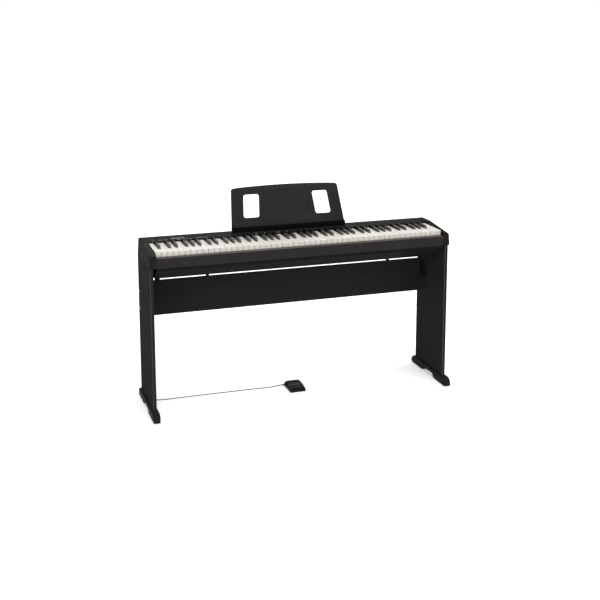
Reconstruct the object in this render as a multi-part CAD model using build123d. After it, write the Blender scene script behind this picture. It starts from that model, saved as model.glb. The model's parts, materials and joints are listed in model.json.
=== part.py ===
from build123d import *
import math
import os

# Digital piano on its wooden stand, with a small damper pedal on a cord.
# Millimetres. +X runs to the treble end, -Y points at the player, +Z is up.
# The origin is on the floor, under the centre of the stand's footprint.

# Driving dimensions of the stand
STAND_HALF_WIDTH = 638.5
PANEL_THICK = 15.0
PANEL_FRONT = -132.0
PANEL_REAR = 142.0
PANEL_TOP = 617.0
FOOT_TOP = 36.0
FOOT_HALF_LENGTH = 173.5
FOOT_WIDTH = 30.0
FOOT_ARCH = 18.0
PAD_HEIGHT = 4.0
BOARD_FRONT = 110.5
BOARD_BOTTOM = 356.0
BOARD_TOP = 504.0

# Driving dimensions of the piano
BODY_HALF_WIDTH = 642.0
BODY_FRONT = -135.0
BODY_REAR = 123.0
BODY_TOP = 688.0
CASE_BOTTOM = 560.0
CASE_SEAM = 617.5
SHOULDER_TOP = 620.5
TUB_HALF_WIDTH = 611.0
TUB_END_RADIUS = 26.0
TUB_KNEE = 608.0
TUB_TOE = -66.0
TUB_KNEE_RADIUS = 16.0
TUB_TOE_RADIUS = 30.0
WALL = 3.0
CHEEK_DRAFT = 5.0

# Driving dimensions of the keyboard
WHITE_COUNT = 52
KEY_PITCH = 23.5
KEY_GAP = 1.0
WHITE_TOP = 678.6
WHITE_DEPTH = 20.0
WHITE_FRONT = -111.5
KEY_BACK = 38.5
HEAD_LENGTH = 51.0
KEY_WALL = 1.8
BLACK_WIDTH = 11.0
BLACK_TOP_WIDTH = 9.4
BLACK_FRONT = -56.5
BLACK_RISE = 12.0
BLACK_NOSE = 8.0
HINGE_Y = 80.0
HINGE_Z = 654.0
HINGE_RADIUS = 4.0
HINGE_CLEARANCE = 0.3
FIRST_SOLO_KEY = 23
LAST_SOLO_KEY = 29
KEY_START = -WHITE_COUNT * KEY_PITCH / 2

# Driving dimensions of the music rest
REST_BOTTOM_Y = 97.0
REST_BOTTOM_Z = 708.0
REST_TILT = 21.0
REST_HEIGHT = 172.0
REST_BOTTOM_WIDTH = 502.0
REST_TOP_WIDTH = 474.0
REST_THICK = 4.0
REST_CROWN = 8.0
LEDGE_HALF_WIDTH = 251.5
LEDGE_DEPTH = 15.0
TAB_DEPTH = 29.0
REST_CORNER_RADIUS = 12.0
REST_WINDOW_X = 156.0
REST_WINDOW_WIDTH = 68.0
REST_WINDOW_LOW = 36.0
REST_WINDOW_HIGH = 135.0
REST_RECESS_WIDTH = 180.0
REST_RECESS_LOW = 42.0
REST_RECESS_HIGH = 148.0
REST_RECESS_DEPTH = 0.6

# Driving dimensions of the pedal
PEDAL_X = 1.0
PEDAL_WIDTH = 70.0
PEDAL_FRONT = -27.0
PEDAL_REAR = 67.0
PEDAL_BASE_TOP = 13.0
PEDAL_PIVOT_Y = 56.0
PEDAL_PIVOT_Z = 15.0
CORD_DIAMETER = 3.5

PANEL_INNER = STAND_HALF_WIDTH - PANEL_THICK
FOOT_X = STAND_HALF_WIDTH - PANEL_THICK / 2
BOARD_REAR = BOARD_FRONT + PANEL_THICK


def save(shape, name):
    export_step(shape, f"parts/{name}.step")


def block(x0, x1, y0, y1, z0, z1):
    """A box between two corners."""
    size = (x1 - x0, y1 - y0, z1 - z0)
    centre = ((x0 + x1) / 2, (y0 + y1) / 2, (z0 + z1) / 2)
    return Pos(*centre) * Box(*size)


def side_prism(points, x0, x1):
    """A closed outline of (y, z) points, drawn from x0 to x1."""
    outline = make_face(Polyline(*[(x0, y, z) for y, z in points], close=True))
    return extrude(outline, amount=x1 - x0, dir=(1, 0, 0))


def front_prism(points, y0, y1):
    """A closed outline of (x, z) points, drawn from y0 to y1."""
    outline = make_face(Polyline(*[(x, y0, z) for x, z in points], close=True))
    return extrude(outline, amount=y1 - y0, dir=(0, 1, 0))


def plan_prism(points, z0, z1):
    """A closed outline of (x, y) points, drawn from z0 to z1."""
    outline = make_face(Polyline(*[(x, y, z0) for x, y in points], close=True))
    return extrude(outline, amount=z1 - z0, dir=(0, 0, 1))


def rod_x(radius, x0, x1, y, z):
    """A round bar along X."""
    return Pos((x0 + x1) / 2, y, z) * Rot(0, 90, 0) * Cylinder(radius, x1 - x0)


def rod_y(radius, y0, y1, x, z):
    """A round bar along Y."""
    return Pos(x, (y0 + y1) / 2, z) * Rot(90, 0, 0) * Cylinder(radius, y1 - y0)


def rod_z(radius, z0, z1, x, y):
    """A round bar along Z."""
    return Pos(x, y, (z0 + z1) / 2) * Cylinder(radius, z1 - z0)


def mirrored(shape):
    """The same piece on the bass side."""
    return mirror(shape, about=Plane.YZ)


# ---------------------------------------------------------------- the stand

BOLT_HEIGHTS = (392.0, 461.0)
BOLT_Y = (BOARD_FRONT + BOARD_REAR) / 2
BOLT_RADIUS = 3.0
BOLT_LENGTH = 45.0
BOLT_HEAD_RADIUS = 6.0
BOLT_HEAD = 3.0
FOOT_SCREW_Y = (-90.0, 100.0)
FOOT_SCREW_RADIUS = 2.5
FOOT_SCREW_DEPTH = 40.0
BRACKET_THICK = 2.5
BRACKET_FRONT = 47.0
BRACKET_REAR = 109.0
BRACKET_BOTTOM = 436.0
BRACKET_ARM_FRONT = -40.0
BRACKET_STEP = 525.0
BRACKET_ARM_INNER = 572.0
BRACKET_SCREW_SPOTS = ((60.0, 452.0), (96.0, 452.0), (-25.0, 541.0), (96.0, 541.0))
BRACKET_SCREW_RADIUS = 2.0
BRACKET_SCREW_DEPTH = 11.0
KNOB_X = 590.0
KNOB_Y = (-20.0, 85.0)
KNOB_BOLT_RADIUS = 3.0
KNOB_BOLT_REACH = 18.0
KNOB_RADIUS = 11.0
KNOB_HEIGHT = 12.0
KNOB_FLUTES = 6
ARCH_FRONT = -62.0
ARCH_REAR = 54.0
ARCH_SLOPE = 15.0
PAD_SPANS = ((-165.0, -66.0), (58.0, 168.0))
PAD_HALF_WIDTH = 12.0


def side_panel():
    """The treble side panel: a board with round front and rear edges, standing on its foot."""
    panel = block(PANEL_INNER, STAND_HALF_WIDTH, PANEL_FRONT, PANEL_REAR, FOOT_TOP, PANEL_TOP)
    front_edges = panel.edges().filter_by(Axis.Z).group_by(Axis.Y)[0]
    panel = fillet(front_edges, PANEL_THICK / 2 - 0.2)
    rear_edges = panel.edges().filter_by(Axis.Z).group_by(Axis.Y)[-1]
    panel = fillet(rear_edges, 2.0)
    for z in BOLT_HEIGHTS:
        panel -= rod_x(BOLT_RADIUS, PANEL_INNER, STAND_HALF_WIDTH, BOLT_Y, z)
        panel -= rod_x(BOLT_HEAD_RADIUS, STAND_HALF_WIDTH - BOLT_HEAD, STAND_HALF_WIDTH, BOLT_Y, z)
    for y in FOOT_SCREW_Y:
        panel -= rod_z(FOOT_SCREW_RADIUS, FOOT_TOP, FOOT_TOP + FOOT_SCREW_DEPTH / 2, FOOT_X, y)
    for y, z in BRACKET_SCREW_SPOTS:
        reach = PANEL_INNER + BRACKET_SCREW_DEPTH
        panel -= rod_x(BRACKET_SCREW_RADIUS, PANEL_INNER, reach, y, z)
    return panel


def back_board():
    """The board between the side panels, set in from their rear edges."""
    board = block(-PANEL_INNER, PANEL_INNER, BOARD_FRONT, BOARD_REAR, BOARD_BOTTOM, BOARD_TOP)
    board = fillet(board.edges().filter_by(Axis.X), 1.5)
    for z in BOLT_HEIGHTS:
        hole = rod_x(BOLT_RADIUS, PANEL_INNER - BOLT_LENGTH + PANEL_THICK, PANEL_INNER, BOLT_Y, z)
        board -= hole
        board -= mirrored(hole)
    return board


def board_bolt(z):
    """A countersunk bolt from the panel's outer face into the end of the board."""
    shank_end = STAND_HALF_WIDTH - BOLT_LENGTH
    head_face = STAND_HALF_WIDTH - BOLT_HEAD
    bolt = rod_x(BOLT_RADIUS, shank_end, head_face, BOLT_Y, z)
    bolt += rod_x(BOLT_HEAD_RADIUS, head_face, STAND_HALF_WIDTH - 0.2, BOLT_Y, z)
    socket = Pos(STAND_HALF_WIDTH - 1.0, BOLT_Y, z) * Rot(0, 90, 0)
    return bolt - socket * extrude(RegularPolygon(2.3, 6), amount=2.0)


def foot():
    """The treble foot bar: moulded, arched between its pads, with a long rounded toe."""
    half = FOOT_HALF_LENGTH
    bottom = PAD_HEIGHT
    outline = [
        (-half + 4.0, bottom),
        (ARCH_FRONT, bottom),
        (ARCH_FRONT + ARCH_SLOPE, FOOT_ARCH),
        (ARCH_REAR - ARCH_SLOPE, FOOT_ARCH),
        (ARCH_REAR, bottom),
        (half - 3.0, bottom),
        (half, bottom + 5.0),
        (half - 6.0, 23.0),
        (PANEL_REAR + 4.0, FOOT_TOP),
        (PANEL_FRONT - 4.0, FOOT_TOP),
        (-half + 12.0, 24.0),
        (-half, 11.0),
    ]
    bar = side_prism(outline, FOOT_X - FOOT_WIDTH / 2, FOOT_X + FOOT_WIDTH / 2)
    upright = bar.edges().filter_by(lambda e: abs(e.center().X - FOOT_X) > FOOT_WIDTH / 2 - 0.1)
    bar = fillet([e for e in upright if e.center().Z > FOOT_ARCH + 2.0], 4.0)
    for y in FOOT_SCREW_Y:
        bar -= rod_z(FOOT_SCREW_RADIUS, bottom, FOOT_TOP, FOOT_X, y)
        bar -= rod_z(2 * FOOT_SCREW_RADIUS, bottom, 2 * bottom, FOOT_X, y)
    return bar


def foot_pads():
    """Four rubber pads, the only faces of the stand that touch the floor."""
    pads = []
    for y0, y1 in PAD_SPANS:
        for side in (-1, 1):
            x = side * FOOT_X
            pad = block(x - PAD_HALF_WIDTH, x + PAD_HALF_WIDTH, y0, y1, 0.0, PAD_HEIGHT)
            pads.append(fillet(pad.edges().filter_by(Axis.Z), 8.0))
    return Compound(pads)


def foot_screw(side, y):
    """A screw from under the foot into the panel."""
    x = side * FOOT_X
    screw = rod_z(FOOT_SCREW_RADIUS, 2 * PAD_HEIGHT, FOOT_TOP + FOOT_SCREW_DEPTH / 2, x, y)
    return screw + rod_z(2 * FOOT_SCREW_RADIUS, PAD_HEIGHT + 0.5, 2 * PAD_HEIGHT, x, y)


def support_bracket():
    """A folded steel bracket: a plate on the panel and an arm under the piano."""
    wall = PANEL_INNER - BRACKET_THICK
    arm_bottom = CASE_BOTTOM - BRACKET_THICK
    front = BRACKET_ARM_FRONT
    upper = block(wall, PANEL_INNER, front, BRACKET_REAR, BRACKET_STEP, CASE_BOTTOM)
    lower = block(wall, PANEL_INNER, BRACKET_FRONT, BRACKET_REAR, BRACKET_BOTTOM, BRACKET_STEP)
    arm = block(BRACKET_ARM_INNER, PANEL_INNER, front, BRACKET_REAR, arm_bottom, CASE_BOTTOM)
    bracket = upper + lower + arm
    for y, z in BRACKET_SCREW_SPOTS:
        bracket -= rod_x(BRACKET_SCREW_RADIUS, wall, PANEL_INNER, y, z)
    for y in KNOB_Y:
        bracket -= rod_z(KNOB_BOLT_RADIUS, arm_bottom, CASE_BOTTOM, KNOB_X, y)
    return bracket


def bracket_screw(y, z):
    """A round-headed wood screw through the bracket."""
    wall = PANEL_INNER - BRACKET_THICK
    tip = PANEL_INNER + BRACKET_SCREW_DEPTH
    screw = rod_x(BRACKET_SCREW_RADIUS, wall, tip, y, z)
    return screw + rod_x(2 * BRACKET_SCREW_RADIUS, wall - 2.0, wall, y, z)


def knob_bolt(side, y):
    """A hand knob with a bolt up into the piano's floor."""
    x = side * KNOB_X
    top = CASE_BOTTOM - BRACKET_THICK
    bottom = top - KNOB_HEIGHT
    bolt = rod_z(KNOB_BOLT_RADIUS, top, CASE_BOTTOM + KNOB_BOLT_REACH, x, y)
    knob = rod_z(KNOB_RADIUS, bottom, top, x, y)
    ring = KNOB_RADIUS + 1.0
    for turn in range(KNOB_FLUTES):
        angle = 2 * math.pi * turn / KNOB_FLUTES
        knob -= rod_z(3.0, bottom, top, x + ring * math.cos(angle), y + ring * math.sin(angle))
    return bolt + knob


def build_stand():
    panel = side_panel()
    save(panel, "right_side_panel")
    save(mirrored(panel), "left_side_panel")
    save(back_board(), "back_board")
    right_foot = foot()
    save(right_foot, "right_foot")
    save(mirrored(right_foot), "left_foot")
    save(foot_pads(), "foot_pads")
    bracket = support_bracket()
    save(Compound([bracket, mirrored(bracket)]), "support_brackets")
    bolts = [board_bolt(z) for z in BOLT_HEIGHTS]
    save(Compound(bolts + [mirrored(b) for b in bolts]), "board_bolts")
    screws = [bracket_screw(y, z) for y, z in BRACKET_SCREW_SPOTS]
    save(Compound(screws + [mirrored(s) for s in screws]), "bracket_screws")
    save(Compound([foot_screw(s, y) for s in (-1, 1) for y in FOOT_SCREW_Y]), "foot_screws")
    save(Compound([knob_bolt(s, y) for s in (-1, 1) for y in KNOB_Y]), "knob_bolts")


# ------------------------------------------------------- the piano's casing

PANEL_EDGE_Y = 40.0
SLIP_TOP = 658.4
SLIP_REAR = -113.5
SLIP_HOOK = 640.0
LIP_BOTTOM = 680.0
LIP_TOP = 684.5
CHEEK_INNER = 612.0
CHEEK_FRONT_TOP = 668.0
CHEEK_BEND_Y = 44.0
TOP_BEND_Y = 100.0
FRAME_BASE = 600.0
JACK_Z = 640.0
PEDAL_JACK_X = -590.0
DC_INLET_X = 470.0
USB_X = -480.0
PHONES_X = -540.0
REST_SLOT_HALF = 200.0
RUBBER_FOOT_SPOTS = ((392.0, -52.0), (392.0, 92.0))
RUBBER_FOOT_RADIUS = 6.5
RUBBER_FOOT_HEIGHT = 10.0
SPEAKER_X = 430.0
SPEAKER_Y = 20.0
SPEAKER_RADIUS = 58.0
GRILLE_RADIUS = 50.0
GRILLE_PITCH = 9.0
GRILLE_ROWS = 5
RIB_PLACES = (-70.0, 100.0)
SCREW_SPOTS = ((560.0, 112.0), (300.0, 112.0), (100.0, 112.0))
BUTTONS = {
    "power_button": (-590.0, 66.0, 5.0),
    "function_button": (-156.0, 60.0, 4.0),
    "volume_down_button": (-120.0, 60.0, 4.0),
    "volume_up_button": (-88.0, 60.0, 4.0),
    "piano_button": (-61.0, 60.0, 4.0),
    "song_button": (-19.0, 60.0, 4.0),
}
BUTTON_CLEARANCE = 0.3
BUTTON_STAND = 1.6
BUTTON_HEIGHT = 7.4


def top_height(y):
    """Height of the top panel, which rises a little towards the rear."""
    slope = (BODY_TOP - LIP_TOP) / (TOP_BEND_Y - PANEL_EDGE_Y)
    return min(BODY_TOP, LIP_TOP + slope * (y - PANEL_EDGE_Y))


def cheek():
    """The treble end block beside the keys, hollow from below, with a sloping top."""
    outline = [
        (BODY_REAR, SHOULDER_TOP),
        (BODY_REAR, BODY_TOP),
        (CHEEK_BEND_Y, BODY_TOP),
        (BODY_FRONT, CHEEK_FRONT_TOP),
        (BODY_FRONT, SHOULDER_TOP),
    ]
    body = side_prism(outline, CHEEK_INNER, BODY_HALF_WIDTH)
    draft = [
        (BODY_HALF_WIDTH, SHOULDER_TOP),
        (BODY_HALF_WIDTH + 1.0, SHOULDER_TOP),
        (BODY_HALF_WIDTH + 1.0, BODY_TOP + 1.0),
        (BODY_HALF_WIDTH - CHEEK_DRAFT, BODY_TOP + 1.0),
    ]
    body -= front_prism(draft, BODY_FRONT - 1.0, BODY_REAR + 1.0)
    outer = body.edges().filter_by(lambda e: e.center().X > CHEEK_INNER + 1.0)
    body = fillet(outer.filter_by(lambda e: e.center().Z > SHOULDER_TOP + 2.0), 2.5)
    hollow = [
        (BODY_REAR - WALL, SHOULDER_TOP),
        (BODY_REAR - WALL, BODY_TOP - WALL - 1.0),
        (CHEEK_BEND_Y, BODY_TOP - WALL - 1.0),
        (BODY_FRONT + WALL, CHEEK_FRONT_TOP - WALL - 1.0),
        (BODY_FRONT + WALL, SHOULDER_TOP),
    ]
    return body - side_prism(hollow, CHEEK_INNER + WALL, BODY_HALF_WIDTH - CHEEK_DRAFT - WALL)


def rest_slot():
    """The slanted slot in the top panel that holds the music rest's tab."""
    return rest_frame() * Box(2 * REST_SLOT_HALF + 1.0, REST_THICK + 0.4, 80.0)


def shoulder_room(side):
    """Room for the lower case's shoulder under an end of the upper shell."""
    inner = side * (TUB_HALF_WIDTH - WALL - 0.3)
    outer = side * (CHEEK_INNER + 0.1)
    low = min(inner, outer)
    high = max(inner, outer)
    return block(low, high, BODY_FRONT - 1.0, BODY_REAR + 1.0, CASE_SEAM - 1.0, SHOULDER_TOP)


def top_case():
    """The upper shell: rear panel, rear wall and both cheeks in one moulding."""
    outline = [
        (PANEL_EDGE_Y, LIP_BOTTOM),
        (PANEL_EDGE_Y, LIP_TOP),
        (TOP_BEND_Y, BODY_TOP),
        (BODY_REAR, BODY_TOP),
        (BODY_REAR, CASE_SEAM),
        (BODY_REAR - WALL, CASE_SEAM),
        (BODY_REAR - WALL, BODY_TOP - WALL),
        (TOP_BEND_Y, BODY_TOP - WALL),
        (PANEL_EDGE_Y + WALL, LIP_TOP - WALL + 0.2),
        (PANEL_EDGE_Y + WALL, LIP_BOTTOM),
    ]
    shell = side_prism(outline, -CHEEK_INNER, CHEEK_INNER)
    corner = shell.edges().filter_by(Axis.X).group_by(Axis.Z)[-1].sort_by(Axis.Y)[-1]
    shell = fillet(corner, 2.5)
    lip = [e for e in shell.edges().filter_by(Axis.X) if abs(e.center().Y - PANEL_EDGE_Y) < 0.1]
    shell = fillet(max(lip, key=lambda e: e.center().Z), 1.5)
    right = cheek()
    shell -= shoulder_room(1)
    shell -= shoulder_room(-1)
    shell = shell + right + mirrored(right)
    shell -= rest_slot()
    for x, y, radius in BUTTONS.values():
        shell -= rod_z(radius + BUTTON_CLEARANCE, 675.0, BODY_TOP + 1.0, x, y)
    inside = BODY_REAR - WALL - 2.0
    outside = BODY_REAR + 1.0
    for x, radius in ((PEDAL_JACK_X, 8.0), (DC_INLET_X, 6.0), (PHONES_X, 4.6)):
        shell -= rod_y(radius, inside, outside, x, JACK_Z)
    return shell - block(USB_X - 6.5, USB_X + 6.5, inside, outside, JACK_Z - 6.0, JACK_Z + 6.0)


def tub_profile(inset):
    """The lower case drawn across: upright front, sloping underside, flat floor."""
    front = BODY_FRONT + inset
    rear = BODY_REAR - inset
    floor = CASE_BOTTOM + inset
    knee = TUB_KNEE + inset * 0.4
    toe = TUB_TOE + inset * 0.4
    outline = [
        (front, CASE_SEAM),
        (front, knee),
        (toe, floor),
        (rear - 10.0, floor),
        (rear, floor + 10.0),
        (rear, CASE_SEAM),
    ]
    half = TUB_HALF_WIDTH - inset
    body = side_prism(outline, -half, half)
    long_edges = body.edges().filter_by(Axis.X)
    knee_edge = [e for e in long_edges if abs(e.center().Z - knee) < 0.1]
    body = fillet(knee_edge, TUB_KNEE_RADIUS - inset)
    toe_edge = [e for e in body.edges().filter_by(Axis.X) if abs(e.center().Y - toe) < 0.1]
    return fillet(toe_edge, TUB_TOE_RADIUS - inset)


def tub_volume(inset):
    """The lower case's solid with rounded lower end corners."""
    half = TUB_HALF_WIDTH - inset
    ends = block(-half, half, BODY_FRONT - 1.0, BODY_REAR + 1.0, CASE_BOTTOM + inset, BODY_TOP)
    low = ends.edges().filter_by(Axis.Y).group_by(Axis.Z)[0]
    return tub_profile(inset) & fillet(low, TUB_END_RADIUS - inset)


def grille(x):
    """Rows of slots under one loudspeaker."""
    slots = []
    below = CASE_BOTTOM - 1.0
    above = CASE_BOTTOM + WALL + 1.0
    for row in range(-GRILLE_ROWS, GRILLE_ROWS + 1):
        y = SPEAKER_Y + row * GRILLE_PITCH
        half = math.sqrt(GRILLE_RADIUS ** 2 - (row * GRILLE_PITCH) ** 2)
        for x0, x1 in ((x - half, x - 2.0), (x + 2.0, x + half)):
            slots.append(block(x0, x1, y - 1.5, y + 1.5, below, above))
    return slots


def bottom_case():
    """The lower shell between the stand's panels, with shoulders under the cheeks."""
    shell = tub_volume(0.0) - tub_volume(WALL)
    for side in (-1, 1):
        inner = side * (TUB_HALF_WIDTH - WALL)
        outer = side * (BODY_HALF_WIDTH - 0.5)
        low = min(inner, outer)
        high = max(inner, outer)
        shell += block(low, high, BODY_FRONT + 0.5, BODY_REAR - 0.5, CASE_SEAM, SHOULDER_TOP)
    floor = CASE_BOTTOM + WALL
    half = TUB_HALF_WIDTH - WALL
    for y in RIB_PLACES:
        shell += block(-half, half, y - 1.5, y + 1.5, floor - 1.0, FRAME_BASE)
    for side in (-1, 1):
        for slot in grille(side * SPEAKER_X):
            shell -= slot
        for y in KNOB_Y:
            shell += rod_z(8.0, floor - 1.0, floor + 17.0, side * KNOB_X, y)
            reach = CASE_BOTTOM + KNOB_BOLT_REACH
            shell -= rod_z(KNOB_BOLT_RADIUS, CASE_BOTTOM - 1.0, reach, side * KNOB_X, y)
        for x, y in SCREW_SPOTS:
            shell += rod_z(5.0, floor - 1.0, CASE_SEAM, side * x, y)
            shell -= rod_z(1.5, CASE_BOTTOM - 1.0, CASE_SEAM + 1.0, side * x, y)
    return shell


def key_slip():
    """The strip in front of the keys, flush with the front of the cheeks."""
    outline = [
        (BODY_FRONT, CASE_SEAM),
        (BODY_FRONT, SLIP_TOP - 2.4),
        (BODY_FRONT + 2.5, SLIP_TOP - 0.4),
        (SLIP_REAR, SLIP_TOP),
        (SLIP_REAR, SLIP_HOOK),
        (SLIP_REAR - 6.5, SLIP_HOOK),
        (SLIP_REAR - 6.5, SLIP_HOOK - 4.0),
        (BODY_FRONT + WALL, SLIP_HOOK - 4.0),
        (BODY_FRONT + WALL, CASE_SEAM),
    ]
    half = CHEEK_INNER - 0.3
    slip = side_prism(outline, -half, half)
    return slip - shoulder_room(1) - shoulder_room(-1)


def rubber_feet():
    """Four round feet under the piano, for use on a table."""
    feet = []
    for x, y in RUBBER_FOOT_SPOTS:
        for side in (-1, 1):
            bottom = CASE_BOTTOM - RUBBER_FOOT_HEIGHT
            body = rod_z(RUBBER_FOOT_RADIUS, bottom, CASE_BOTTOM, side * x, y)
            feet.append(fillet(body.edges().group_by(Axis.Z)[0], 2.0))
    return Compound(feet)


def case_screw(x, y):
    """A self-tapping screw that holds the two shells together from below."""
    head_top = CASE_BOTTOM - 0.1
    screw = rod_z(1.5, head_top, CASE_SEAM - 6.0, x, y)
    return screw + rod_z(3.2, head_top - 2.0, head_top, x, y)


def button(name):
    """A short push button standing a little above the top panel."""
    x, y, radius = BUTTONS[name]
    top = top_height(y) + BUTTON_STAND
    bottom = top - BUTTON_HEIGHT
    cap = rod_z(radius, bottom, top, x, y)
    cap = fillet(cap.edges().group_by(Axis.Z)[-1], 0.8)
    return cap + rod_z(radius + 1.0, bottom, bottom + 1.0, x, y)


def build_casing():
    save(top_case(), "top_case")
    save(bottom_case(), "bottom_case")
    save(key_slip(), "key_slip")
    save(rubber_feet(), "rubber_feet")
    save(Compound([case_screw(s * x, y) for s in (-1, 1) for x, y in SCREW_SPOTS]), "case_screws")
    for name in BUTTONS:
        save(button(name), name)


# ------------------------------------------------------ inside the casing

FRAME_HALF = 607.0
FRAME_WALL = 2.0
FRAME_FRONT = -108.0
FRAME_REAR = 105.0
RAIL_FRONT = 72.0
RAIL_REAR = 88.0
CONTACT_Z = 634.0
KEY_COUNT = 88
HAMMER_HALF = 2.6
BOARD_THICK = 1.6
# Larger parts on the sound board: centre x and y, width, depth and height.
BOARD_PARTS = (
    (-40.0, 0.0, 28.0, 28.0, 2.0),
    (20.0, 20.0, 22.0, 16.0, 2.5),
    (70.0, -10.0, 30.0, 12.0, 12.0),
)


def key_frame():
    """The chassis that the keys hinge on: base, front rail and rear hinge rail."""
    floor = FRAME_BASE + FRAME_WALL
    rail_top = HINGE_Z - 2.0
    outline = [
        (FRAME_FRONT, FRAME_BASE),
        (FRAME_REAR, FRAME_BASE),
        (FRAME_REAR, floor),
        (RAIL_REAR, floor),
        (RAIL_REAR, rail_top),
        (RAIL_FRONT, rail_top),
        (RAIL_FRONT, CONTACT_Z),
        (RAIL_FRONT - 22.0, CONTACT_Z),
        (RAIL_FRONT - 22.0, CONTACT_Z - FRAME_WALL),
        (RAIL_FRONT, CONTACT_Z - FRAME_WALL),
        (RAIL_FRONT, floor),
        (FRAME_FRONT + 10.0, floor),
        (FRAME_FRONT + 10.0, SLIP_HOOK),
        (FRAME_FRONT, SLIP_HOOK),
    ]
    frame = side_prism(outline, -FRAME_HALF, FRAME_HALF)
    groove = rod_x(HINGE_RADIUS + HINGE_CLEARANCE, -FRAME_HALF, FRAME_HALF, HINGE_Y, HINGE_Z)
    tunnel_front = RAIL_FRONT + 3.0
    tunnel_rear = RAIL_REAR - 3.0
    tunnel = block(-FRAME_HALF, FRAME_HALF, tunnel_front, tunnel_rear, floor, HINGE_Z - 12.0)
    return frame - groove - tunnel


def hammers():
    """One steel-weighted hammer bar under each of the 88 keys."""
    outline = [
        (-88.0, 606.0),
        (-48.0, 606.0),
        (-44.0, 610.0),
        (40.0, 610.0),
        (40.0, 616.0),
        (-44.0, 616.0),
        (-88.0, 620.0),
    ]
    start = 8.0 - FRAME_HALF
    pitch = -2 * start / KEY_COUNT
    bars = []
    for index in range(KEY_COUNT):
        x = start + pitch * (index + 0.5)
        bars.append(side_prism(outline, x - HAMMER_HALF, x + HAMMER_HALF))
    return Compound(bars)


def contact_board():
    """The long circuit board that senses the keys."""
    return block(-590.0, 590.0, 46.0, RAIL_FRONT - 0.5, CONTACT_Z, CONTACT_Z + BOARD_THICK)


def main_board():
    """The sound board, on the casing's floor, with its larger parts."""
    floor = CASE_BOTTOM + WALL
    top = floor + 6.0 + BOARD_THICK
    board = block(-110.0, 110.0, -40.0, 60.0, top - BOARD_THICK, top)
    for x, y, width, depth, height in BOARD_PARTS:
        part = Box(width, depth, height + 0.5)
        board += Pos(x, y, top + (height - 0.5) / 2) * part
    for x in (-100.0, 100.0):
        for y in (-32.0, 52.0):
            board += rod_z(3.0, floor, floor + 6.5, x, y)
    return board


def speaker_frame(x):
    """A loudspeaker's basket with its magnet, facing down."""
    floor = CASE_BOTTOM + WALL
    profile = [
        (46.0, 0.0),
        (SPEAKER_RADIUS, 0.0),
        (SPEAKER_RADIUS, 4.0),
        (50.0, 5.0),
        (30.0, 20.0),
        (27.0, 34.0),
        (0.0, 34.0),
        (0.0, 19.0),
        (26.0, 17.0),
        (46.0, 4.0),
    ]
    face = make_face(Polyline(*[(r, 0.0, floor + z) for r, z in profile], close=True))
    return Pos(x, SPEAKER_Y, 0) * revolve(face, axis=Axis.Z)


def speaker_cone(x):
    """The paper cone with its surround and dust cap."""
    floor = CASE_BOTTOM + WALL
    profile = [
        (0.0, 8.0),
        (12.0, 7.0),
        (14.0, 10.0),
        (38.0, 2.0),
        (42.0, 1.0),
        (45.7, 1.0),
        (45.7, 2.2),
        (40.0, 3.5),
        (14.0, 12.0),
        (0.0, 12.0),
    ]
    face = make_face(Polyline(*[(r, 0.0, floor + z) for r, z in profile], close=True))
    return Pos(x, SPEAKER_Y, 0) * revolve(face, axis=Axis.Z)


def pedal_jack():
    """The 6.3 mm socket for the damper pedal, with its nut."""
    jack = rod_y(7.9, BODY_REAR - 26.0, BODY_REAR + 0.5, PEDAL_JACK_X, JACK_Z)
    nut = rod_y(9.5, BODY_REAR, BODY_REAR + 2.0, PEDAL_JACK_X, JACK_Z)
    return jack + nut - rod_y(3.3, BODY_REAR - 24.0, BODY_REAR + 3.0, PEDAL_JACK_X, JACK_Z)


def headphone_jack():
    """The 3.5 mm stereo socket."""
    jack = rod_y(4.5, BODY_REAR - 22.0, BODY_REAR + 0.5, PHONES_X, JACK_Z)
    nut = rod_y(5.5, BODY_REAR, BODY_REAR + 1.2, PHONES_X, JACK_Z)
    return jack + nut - rod_y(1.8, BODY_REAR - 19.0, BODY_REAR + 2.0, PHONES_X, JACK_Z)


def dc_inlet():
    """The socket for the power adaptor."""
    body = rod_y(5.9, BODY_REAR - 12.0, BODY_REAR + 0.5, DC_INLET_X, JACK_Z)
    hole = rod_y(3.6, BODY_REAR - 10.0, BODY_REAR + 1.0, DC_INLET_X, JACK_Z)
    return body - hole + rod_y(1.0, BODY_REAR - 11.0, BODY_REAR - 1.0, DC_INLET_X, JACK_Z)


def usb_port():
    """The square data socket."""
    body = block(USB_X - 6.4, USB_X + 6.4, BODY_REAR - 16.0, BODY_REAR + 0.3, JACK_Z - 5.9, JACK_Z + 5.9)
    body -= block(USB_X - 4.8, USB_X + 4.8, BODY_REAR - 12.0, BODY_REAR + 1.0, JACK_Z - 4.4, JACK_Z + 4.4)
    return body + Pos(USB_X, BODY_REAR - 8.0, JACK_Z) * Box(5.6, 10.0, 3.2)


def build_inside():
    save(key_frame(), "key_frame")
    save(hammers(), "hammers")
    save(contact_board(), "contact_board")
    save(main_board(), "main_board")
    save(Compound([speaker_frame(s * SPEAKER_X) for s in (-1, 1)]), "speaker_frames")
    save(Compound([speaker_cone(s * SPEAKER_X) for s in (-1, 1)]), "speaker_cones")
    save(pedal_jack(), "pedal_jack")
    save(headphone_jack(), "headphone_jack")
    save(dc_inlet(), "dc_inlet")
    save(usb_port(), "usb_port")


# ------------------------------------------------------------ the keyboard

LETTERS = "ABCDEFG"
SHARP_SHIFT = {"A": 3.5, "C": -2.5, "D": 2.5, "F": -3.5, "G": 0.0}
SHARP_CLEARANCE = 1.0


def note_letter(index):
    return LETTERS[index % 7]


def note_octave(index):
    return (index + 5) // 7


def has_sharp(index):
    """True where a black key stands between this white key and the next."""
    return 0 <= index < WHITE_COUNT - 1 and note_letter(index) in SHARP_SHIFT


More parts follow.
